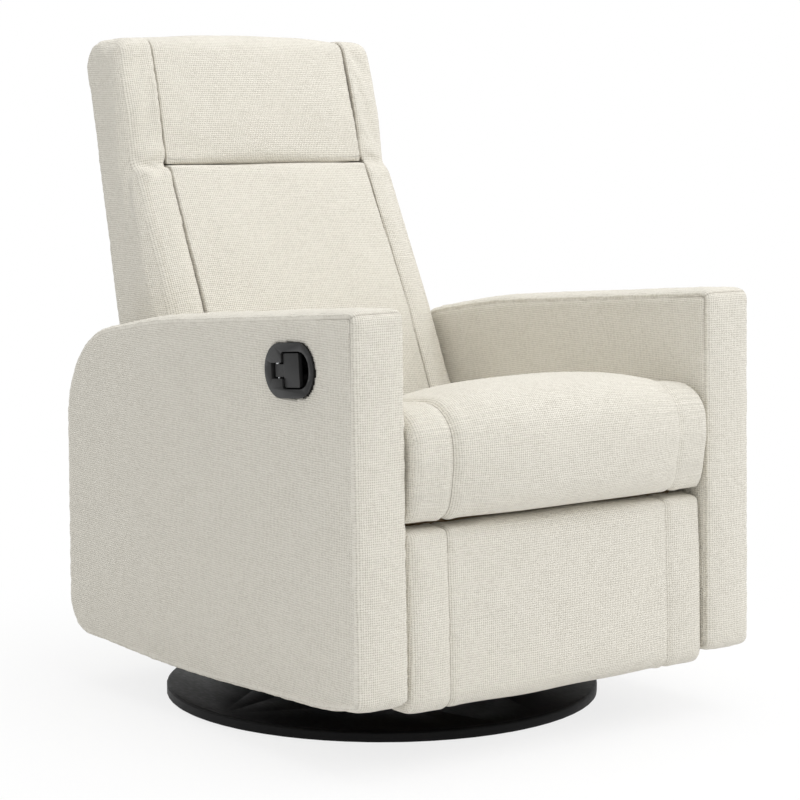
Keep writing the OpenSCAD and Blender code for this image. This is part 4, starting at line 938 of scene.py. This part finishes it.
def makeRearCover(settings):
    low, share = back["lowHeight"], settings["share"]
    shoulder, toe = back["top"] - back["shoulderDrop"], back["top"] - settings["toeDrop"]
    toeDepth, edge = back["rearDepth"] - settings["toeIn"], settings["edge"]
    ledge, ledgeRadius = settings["stepHeight"], settings["stepRadius"]
    corners = [
        (backRear(low, settings["depth"]), low, settings["frontRadius"], share, share),
        (back["rearLow"] + back["rearPuff"], low, settings["rearRadius"], share, share),
        (back["shoulderPlace"] + back["rearPuff"], shoulder, back["shoulderRadius"],
         share, share),
        (backRear(toe, toeDepth), toe, settings["toeRadius"], share, share),
        (backRear(ledge, toeDepth), ledge, ledgeRadius, 0, 0),
        (backRear(ledge, settings["depth"]), ledge, ledgeRadius, 0, 0),
    ]
    outline = roundedOutline(corners)
    side = back["seamPlace"] - settings["sideIn"] - edge
    half = [(side * k / 4, settings["slack"]) for k in range(5)]
    half += edgeLayers(side, settings["slack"], edge)

    def free(rest, normal):
        x = np.abs(rest[:, 0]) / backShare(rest[:, 2])
        side = step(back["seamPlace"] - x, *settings["openFrom"])
        behind = normal[:, 1] > settings["rearFacing"]
        return side * behind * step(rest[:, 2], *settings["openAbove"])

    mesh = loftMesh("backCover", outline, mirroredLayers(half), backTaper)
    piece = softForm("backCover", mesh, back["voxel"], settings["swell"], free)
    return {"piece": piece, "outline": outline}


rearCoverMade = makeRearCover(rearCover)


# Footrest pad and rear skirt

footrest = {
    "channel": 0.207, "crown": 0.006, "edge": 0.014, "frontRadius": 0.026, "browRadius": 0.017,
    "toeIn": 0.0004, "toeOut": 0.010, "toeShare": 0.3,
    "rearLowRadius": 0.008, "rearTopRadius": 0.006,
    "browIn": 0.002, "browShare": 0.4,
    "bellyOut": 0.005, "bellyRise": 0.136, "bellyRadius": 0.5,
    "besideChannel": ((0.004, 0.001), (0.018, 0.004)),      # (out from it, up from the crown)
    "sideUp": 0.004, "sideIn": 0.006, "edgeUp": 0.003,
    "slack": 0.002, "swell": 0.009, "voxel": 0.006,
    "openFrom": (0.002, 0.045), "openAhead": (0.006, 0.02), "openInside": (-0.001, 0.012),
    "sewing": (0.0030, 0.0042, 0.0005), "seamShade": 0.85, "leftFainter": 0.55, "endIn": 0.006,
}


def makeFootrest(settings):
    low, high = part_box("footrest_pad")
    toe, rear = low.y - settings["toeIn"], high.y
    front, share = toe + settings["toeOut"], settings["toeShare"]
    corners = [
        (toe, low.z, settings["frontRadius"], 1, share),
        (rear, low.z, settings["rearLowRadius"], share, share),
        (rear, high.z, settings["rearTopRadius"], 0, 0),
        (front + settings["browIn"], high.z, settings["browRadius"], 1, settings["browShare"]),
        (front - settings["bellyOut"], low.z + settings["bellyRise"], settings["bellyRadius"],
         1, 1),
    ]
    outline = roundedOutline(corners)
    half, crown, slack = settings["channel"], settings["crown"], settings["slack"]
    wide, edge = high.x, settings["edge"]
    layers = [(half * k / 8, slack + crown * (k / 8) ** 3) for k in range(9)]
    layers += [(half + out, slack + crown - up) for out, up in settings["besideChannel"]]
    layers += [(wide - edge - settings["sideIn"], slack + crown - settings["sideUp"])]
    layers += edgeLayers(wide - edge, slack + crown - settings["edgeUp"], edge)

    def free(rest, normal):
        open_ = step(np.abs(np.abs(rest[:, 0]) - half), *settings["openFrom"])
        ahead = (normal[:, 1] < 0.5) * step(rear - rest[:, 1], *settings["openAhead"])
        return open_ * ahead * step(wide - np.abs(rest[:, 0]), *settings["openInside"])

    mesh = loftMesh("footrestCover", outline, mirroredLayers(layers))
    piece = softForm("footrestCover", mesh, settings["voxel"], settings["swell"], free)
    return {"piece": piece, "outline": outline, "wide": wide}


footrestMade = makeFootrest(footrest)

skirt = {
    "edge": 0.007, "swell": 0.004, "voxel": 0.006, "rearIn": 0.002,
    "frontRadius": 0.004, "rearRadius": 0.008, "ends": 0.03, "rearFacing": 0.3,
}


def makeSkirt(settings):
    low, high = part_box("rear_skirt")
    rear = high.y - settings["rearIn"]
    corners = [
        (low.y, low.z, settings["frontRadius"], 0, 0),
        (rear, low.z, settings["rearRadius"], 1, 1),
        (rear, high.z, settings["rearRadius"], 1, 1),
        (low.y, high.z, settings["frontRadius"], 0, 0),
    ]
    outline = roundedOutline(corners)
    side = high.x - settings["edge"]
    half = [(side * k / 4, 0.0) for k in range(5)] + edgeLayers(side, 0.0, settings["edge"])

    def free(rest, normal):
        ends = settings["ends"]
        shown = (normal[:, 1] > settings["rearFacing"]) * step(rest[:, 2], low.z, low.z + ends)
        return shown * step(-rest[:, 2], -high.z, -high.z + ends)

    mesh = loftMesh("rearSkirt", outline, mirroredLayers(half))
    piece = softForm("rearSkirt", mesh, settings["voxel"], settings["swell"], free)
    return {"piece": piece, "outline": outline}


skirtMade = makeSkirt(skirt)
swellAll(swelling)
print("covers swollen:", len(softPieces))


# Seams and folds

handleSeat = {
    "turn": 5.4,            # degrees, with the slope of the arm's top
    "length": 0.1205, "height": 0.078,
    "rim": 0.0012,          # the pocket starts this far under the bezel's edge
    "flat": 0.010, "fade": 0.045,
    "wallIn": 0.0002, "faceDepth": 0.02,
    "behind": 0.0015,
}


# the cover lies flat under the bezel and is pocketed behind the cup
def seatHandle(piece, rest, settings):
    low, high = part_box("handle_cup")
    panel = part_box("arm_cover_right")[0].x
    middle = ((low.y + high.y) / 2, (low.z + high.z) / 2)
    turn = math.radians(settings["turn"])
    y, z = rest[:, 1] - middle[0], rest[:, 2] - middle[1]
    u = y * math.cos(turn) - z * math.sin(turn)
    v = y * math.sin(turn) + z * math.cos(turn)
    radius = settings["height"] / 2
    reach = settings["length"] / 2 - radius
    outside = np.hypot(np.maximum(np.abs(u) - reach, 0), v) - radius
    points = pointsOf(piece.data)
    face = rest[:, 0] < panel + settings["faceDepth"]
    share = (1 - step(outside, settings["flat"], settings["fade"])) * face
    wall = panel + settings["wallIn"]
    points[:, 0] += (wall - points[:, 0]) * share
    pocket = face & (outside < -settings["rim"])
    points[pocket, 0] = high.x + settings["behind"]
    setPoints(piece.data, points)
    print("handle pocket", int(pocket.sum()), "points")


# how dark the arm's painted seam shadow is, and how deep its grooves: most at the top of its
# front, hardly along its front edge
def armSeamShade(rest, settings):
    height, forward = rest[:, 2], -rest[:, 1]
    high, ahead = step(height, *settings["high"]), step(forward, *settings["ahead"])
    shade = settings["seamShade"] + settings["highShade"] * high
    shade += settings["aheadShade"] * high * ahead
    edge = step(forward, *settings["edgeFront"])
    return shade * (1 - settings["edgeFaint"] * edge * (1 - step(height, *settings["edgeTop"])))


def finishArm(made, seed):
    settings, outline, piece = made["settings"], made["outline"], made["piece"]
    rest = refined(piece)
    depth, way = alongOutline(outline, rest[:, 1:])
    brow = outline[-cornerPoints:].mean(0)
    across = way - alongOutline(outline, brow[None, :2])[1][0]
    strip = step(-(depth - settings["seamIn"]), *settings["stripFrom"])
    seam = depth - settings["seamIn"] - settings["slack"]
    meeting = np.hypot(seam, across) * settings["nickShare"] + settings["nickBack"]
    onStrip = np.where(strip > 0.5, across, seamForm["farOff"])
    seams = np.column_stack([seam, onStrip, meeting])
    shade = armSeamShade(rest, settings)
    # painted shade: a dark spot where the seams meet, for the shade inside the small opening
    shade = np.where(meeting < settings["nick"], settings["nickShade"], shade)
    sewn(piece, rest, seams, settings["sewing"], seed, None, shade)
    if made["node"] == "arm_cover_right":
        seatHandle(piece, rest, handleSeat)
    woven(piece, rest, outline, lambda r, d: d > settings["seamIn"] + settings["slack"])
    paint(piece, "upholstery")
    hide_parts(made["node"])
    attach(piece, "chair")


# the two sewn channels of the seat and of the footrest, with deeper grooves and darker painted
# seam shadow on the sitter's right
def finishChannels(made, settings, seed):
    piece = made["piece"]
    rest = refined(piece)
    seams = (np.abs(rest[:, 0]) - settings["channel"])[:, None]
    shade = settings["seamShade"] - settings["leftFainter"] * (rest[:, 0] > 0)
    sewn(piece, rest, seams, settings["sewing"], seed, None, shade)
    end = made["wide"] - settings["endIn"]
    woven(piece, rest, made["outline"], lambda r, d: np.abs(r[:, 0]) > end)
    paint(piece, "upholstery")
    return piece


def finishSeat(made, settings):
    piece = finishChannels(made, settings, 31)
    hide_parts("seat_cushion")
    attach(piece, "chair")


def finishFootrest(made, settings):
    piece = finishChannels(made, settings, 41)
    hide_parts("footrest_pad")
    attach(piece, "footrest")


def finishCentre(made, node, seed):
    piece = made["piece"]
    rest = refined(piece)
    width = back["seamPlace"] * backShare(rest[:, 2])
    inside = width - np.abs(rest[:, 0])
    seams = (inside - centre["seamIn"])[:, None]
    sewn(piece, rest, seams, centre["sewing"], seed, None, centre["seamShade"])
    woven(piece, rest, made["outline"], lambda r, d: inside < centre["endIn"])
    paint(piece, "upholstery")
    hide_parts(node)
    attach(piece, "backrest")


def finishBolster(piece, node, seed):
    rest = refined(piece)
    x = np.abs(rest[:, 0]) / backShare(rest[:, 2])
    lean = math.atan(back["slope"])
    level = ((rest[:, 2] - back["crease"]) * math.cos(lean)
             + (rest[:, 1] - bolster["creaseFace"]) * math.sin(lean))
    outer = back["halfWidth"] - bolster["rounding"]
    front = step(-(x - outer), *bolster["frontFade"]) * step(-rest[:, 1], *bolster["rearFade"])
    tuck = sum(out * fall(level - up, width) for out, up, width in bolster["tucks"])
    depth, way = alongOutline(bolsterOutline, rest[:, 1:])
    strip = x - outer - bolster["stripSeam"]
    strip = np.where(depth < bolster["stripDepth"], strip, seamForm["farOff"])
    seams = np.column_stack([x - bolsterInner, strip])
    # the inner seam gets a plain painted shadow, the side strip's seam a faint one
    plain, faint = bolster["seamShades"]
    shade = np.where(np.abs(seams[:, 0]) < np.abs(seams[:, 1]), plain, faint)
    sewn(piece, rest, seams, bolster["sewing"], seed, tuck * front, shade)
    woven(piece, rest, bolsterOutline, lambda r, d: x > outer + bolster["stripSeam"])
    paint(piece, "upholstery")
    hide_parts(node)
    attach(piece, "backrest")


plainSewing = {"sewing": (0.0, 0.004, 0.0004), "seamIn": 0.003}


def finishPlain(made, node, body, seed):
    piece = made["piece"]
    rest = refined(piece)
    inside = np.abs(rest[:, 0]).max() - np.abs(rest[:, 0])
    seams = (inside - plainSewing["seamIn"])[:, None]
    sewn(piece, rest, seams, plainSewing["sewing"], seed)
    woven(piece, rest, made["outline"], lambda r, d: inside < plainSewing["seamIn"])
    paint(piece, "upholstery")
    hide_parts(node)
    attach(piece, body)


finishArm(armLeft, 11)
finishArm(armRight, 21)
finishSeat(seatMade, seat)
finishFootrest(footrestMade, footrest)
finishCentre(headrestMade, "headrest_cushion", 51)
finishCentre(lumbarMade, "lumbar_cushion", 61)
finishBolster(bolsterForms["bolsterCoverLeft"], "bolster_left", 71)
finishBolster(bolsterForms["bolsterCoverRight"], "bolster_right", 81)
finishPlain(rearCoverMade, "back_cover", "backrest", 91)
finishPlain(skirtMade, "rear_skirt", "chair", 101)
print("covers sewn")


# Two rows of stitches down the front edge of each bolster, below the crease

stitching = {
    "spacing": 0.0058, "length": 0.0040, "radius": 0.00042, "sunk": 0.0001,
    "rows": (0.0050, 0.0105),       # in from the side strip's seam
    "low": 0.455, "top": 0.822, "steps": 40,
    "segments": 6, "rings": 5,
}


def stitchTree(settings):
    tree = bpy.data.node_groups.new("stitchRow", "GeometryNodeTree")
    tree.interface.new_socket("Rows", in_out="INPUT", socket_type="NodeSocketGeometry")
    for label, value in (("Spacing", "spacing"), ("Stitch length", "length"),
                         ("Thread radius", "radius")):
        socket = tree.interface.new_socket(label, in_out="INPUT", socket_type="NodeSocketFloat")
        socket.default_value = settings[value]
    tree.interface.new_socket("Thread", in_out="INPUT", socket_type="NodeSocketMaterial")
    tree.interface.new_socket("Stitches", in_out="OUTPUT", socket_type="NodeSocketGeometry")
    given = tree.nodes.new("NodeGroupInput").outputs
    made = tree.nodes.new("NodeGroupOutput")
    curve = addNode(tree, "GeometryNodeMeshToCurve", {"Mesh": given["Rows"]})
    places = addNode(tree, "GeometryNodeCurveToPoints",
                     {"Curve": curve.outputs[0], "Length": given["Spacing"]}, mode="LENGTH")
    turned = addNode(tree, "FunctionNodeAlignRotationToVector",
                     {"Vector": places.outputs["Tangent"]}, axis="Z")
    bead = addNode(tree, "GeometryNodeMeshUVSphere", {"Segments": settings["segments"],
                                                      "Rings": settings["rings"], "Radius": 1.0})
    half = calc(tree, "MULTIPLY", given["Stitch length"], 0.5)
    radius = given["Thread radius"]
    size = addNode(tree, "ShaderNodeCombineXYZ", {0: radius, 1: radius, 2: half})
    laid = addNode(tree, "GeometryNodeInstanceOnPoints",
                   {"Points": places.outputs["Points"], "Instance": bead.outputs["Mesh"],
                    "Rotation": turned.outputs[0], "Scale": size.outputs[0]})
    real = addNode(tree, "GeometryNodeRealizeInstances", {"Geometry": laid.outputs[0]})
    dyed = addNode(tree, "GeometryNodeSetMaterial",
                   {"Geometry": real.outputs[0], "Material": given["Thread"]})
    tree.links.new(dyed.outputs[0], made.inputs[0])
    return tree


def bolsterFront(height):
    heights = (back["lowHeight"] + back["footRise"], back["faceHeight"],
               back["crease"] - bolster["underDrop"])
    faces = (bolster["footFace"], bolster["midFace"], bolster["underFace"])
    return float(np.interp(height, heights, faces))


def stitchRows(settings):
    points, edges = [], []
    bpy.context.view_layer.update()
    seam = back["halfWidth"] - bolster["rounding"] + bolster["stripSeam"]
    for form in bolsterForms.values():
        side = 1 if form.name.endswith("Left") else -1
        for inset in settings["rows"]:
            place = side * (seam - inset)
            for k in range(settings["steps"] + 1):
                rise = (settings["top"] - settings["low"]) * k / settings["steps"]
                height = settings["low"] + rise
                start = Vector((place * backShare(height), bolsterFront(height), height))
                found, spot, normal, face = form.closest_point_on_mesh(start)
                if k:
                    edges.append((len(points) - 1, len(points)))
                points.append(tuple(spot - normal * settings["sunk"]))
    mesh = bpy.data.meshes.new("bolsterStitches")
    mesh.from_pydata(points, edges, [])
    return mesh


def makeStitches(settings):
    piece = linked("bolsterStitches", stitchRows(settings))
    modifier = piece.modifiers.new("stitches", "NODES")
    modifier.node_group = stitchTree(settings)
    values = {"Spacing": settings["spacing"], "Stitch length": settings["length"],
              "Thread radius": settings["radius"], "Thread": materials["thread"]}
    for socket in modifier.node_group.interface.items_tree:
        if socket.in_out == "INPUT" and socket.name in values:
            modifier[socket.identifier] = values[socket.name]
    baked(piece)
    smoothShaded(piece)
    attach(piece, "backrest")
    facesEach = settings["segments"] * settings["rings"]
    print("stitches", len(piece.data.polygons) // facesEach)


makeStitches(stitching)


# Hard pieces whose edges show: a copy of the node with its sharp edges rounded

rounding = {
    "handle_cup": {"name": "handleCup", "body": "chair", "width": 0.0011, "segments": 3,
                   "finish": "handle_plastic"},
    "release_paddle": {"name": "releasePaddle", "body": "paddle", "width": 0.0008, "segments": 3,
                       "finish": "paddle_plastic"},
    "base_disc": {"name": "floorPlate", "body": "base", "width": 0.0016, "segments": 4,
                  "finish": "black_board"},
}
edgeFinding = {
    "merge": 0.00002,
    "flat": 4, "sharp": 40, "smooth": 35,       # degrees between two faces
}


def roundedCopy(node, settings):
    mesh = frame["nodes"][node].data.copy()
    form = bmesh.new()
    form.from_mesh(mesh)
    bmesh.ops.remove_doubles(form, verts=form.verts, dist=edgeFinding["merge"])
    bmesh.ops.dissolve_limit(form, angle_limit=math.radians(edgeFinding["flat"]), verts=form.verts,
                             edges=form.edges)
    bmesh.ops.recalc_face_normals(form, faces=form.faces)
    form.to_mesh(mesh)
    form.free()
    piece = linked(settings["name"], mesh)
    bevel = piece.modifiers.new("softEdges", "BEVEL")
    bevel.limit_method = "ANGLE"
    bevel.angle_limit = math.radians(edgeFinding["sharp"])
    bevel.width = settings["width"]
    bevel.segments = settings["segments"]
    bevel.harden_normals = True
    baked(piece)
    smoothShaded(piece)
    piece.data.set_sharp_from_angle(angle=math.radians(edgeFinding["smooth"]))
    paint(piece, settings["finish"])
    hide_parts(node)
    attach(piece, settings["body"])


for nodeName, nodeRounding in rounding.items():
    roundedCopy(nodeName, nodeRounding)
print("hard edges rounded")


# CAD nodes that stay take their record's finish

slots = {row["node"]: row["material_slot"] for row in frame["record"]["subparts"]}
for nodeName, node in frame["nodes"].items():
    if not node.hide_render:
        paint(node, slots[nodeName])
print("mechanism painted")


# Floor, lamps and white surroundings

studio = {
    "floorSize": 14.0, "floorTone": 0.90, "floorRough": 0.9, "floorGloss": 0.1,
    "shadowFrom": 0.38, "shadowTo": 1.10,       # the floor is pure white from there on
    "nearWhite": 0.80,                          # how white it is near the chair
    "sky": 0.69,
    "aim": (0, 0, 0.5),
    "keyPlace": (0.0, -3.2, 3.7), "keySize": 2.6, "keyPower": 35.0,
    "fillPlace": (3.4, -2.0, 2.4), "fillSize": 2.6, "fillPower": 38.0,
    "topPlace": (0.2, -0.2, 4.2), "topSize": 3.2, "topPower": 61.0,
}


def makeLamp(name, place, size, power, aim):
    data = bpy.data.lights.new(name, "AREA")
    data.size = size
    data.energy = power
    lamp = bpy.data.objects.new(name, data)
    lamp.location = place
    lamp.rotation_euler = (Vector(aim) - Vector(place)).to_track_quat("-Z", "Y").to_euler()
    bpy.context.scene.collection.objects.link(lamp)


def seenRays(tree):
    path = addNode(tree, "ShaderNodeLightPath")
    seen = calc(tree, "MAXIMUM", path.outputs["Is Camera Ray"], path.outputs["Is Glossy Ray"])
    return calc(tree, "MAXIMUM", seen, path.outputs["Is Transmission Ray"])


def makeFloor(settings):
    mesh = bpy.data.meshes.new("studioFloor")
    half = settings["floorSize"]
    corners = [(-half, -half, 0), (half, -half, 0), (half, half, 0), (-half, half, 0)]
    mesh.from_pydata(corners, [], [(0, 1, 2, 3)])
    floor = linked("studioFloor", mesh)
    material, tree, shader = newMaterial("paleFloor")
    shader.inputs["Base Color"].default_value = (settings["floorTone"],) * 3 + (1,)
    shader.inputs["Roughness"].default_value = settings["floorRough"]
    shader.inputs["Specular IOR Level"].default_value = settings["floorGloss"]
    place = addNode(tree, "ShaderNodeTexCoord").outputs["Object"]
    away = addNode(tree, "ShaderNodeVectorMath", {0: place}, operation="LENGTH").outputs["Value"]
    white = addNode(tree, "ShaderNodeEmission", {"Color": (1, 1, 1, 1), "Strength": 1.0})
    share = smoothRange(tree, away, settings["shadowFrom"], settings["shadowTo"],
                        settings["nearWhite"], 1.0)
    mix = addNode(tree, "ShaderNodeMixShader", {0: calc(tree, "MULTIPLY", share, seenRays(tree)),
                                                1: shader.outputs[0], 2: white.outputs[0]})
    tree.links.new(mix.outputs[0], tree.nodes["Material Output"].inputs["Surface"])
    mesh.materials.append(material)


def makeSky(settings):
    world = bpy.data.worlds.new("studioSky")
    bpy.context.scene.world = world
    world.use_nodes = True
    tree = world.node_tree
    ground = tree.nodes["Background"]
    ground.inputs["Color"].default_value = (1, 1, 1, 1)
    seen = seenRays(tree)
    strength = calc(tree, "MULTIPLY_ADD", seen, 1.0 - settings["sky"], settings["sky"])
    tree.links.new(strength, ground.inputs["Strength"])


makeFloor(studio)
makeSky(studio)
for part in ("key", "fill", "top"):
    makeLamp(part + "Lamp", studio[part + "Place"], studio[part + "Size"],
             studio[part + "Power"], studio["aim"])
bpy.context.scene.view_settings.view_transform = "Standard"
print("studio ready")
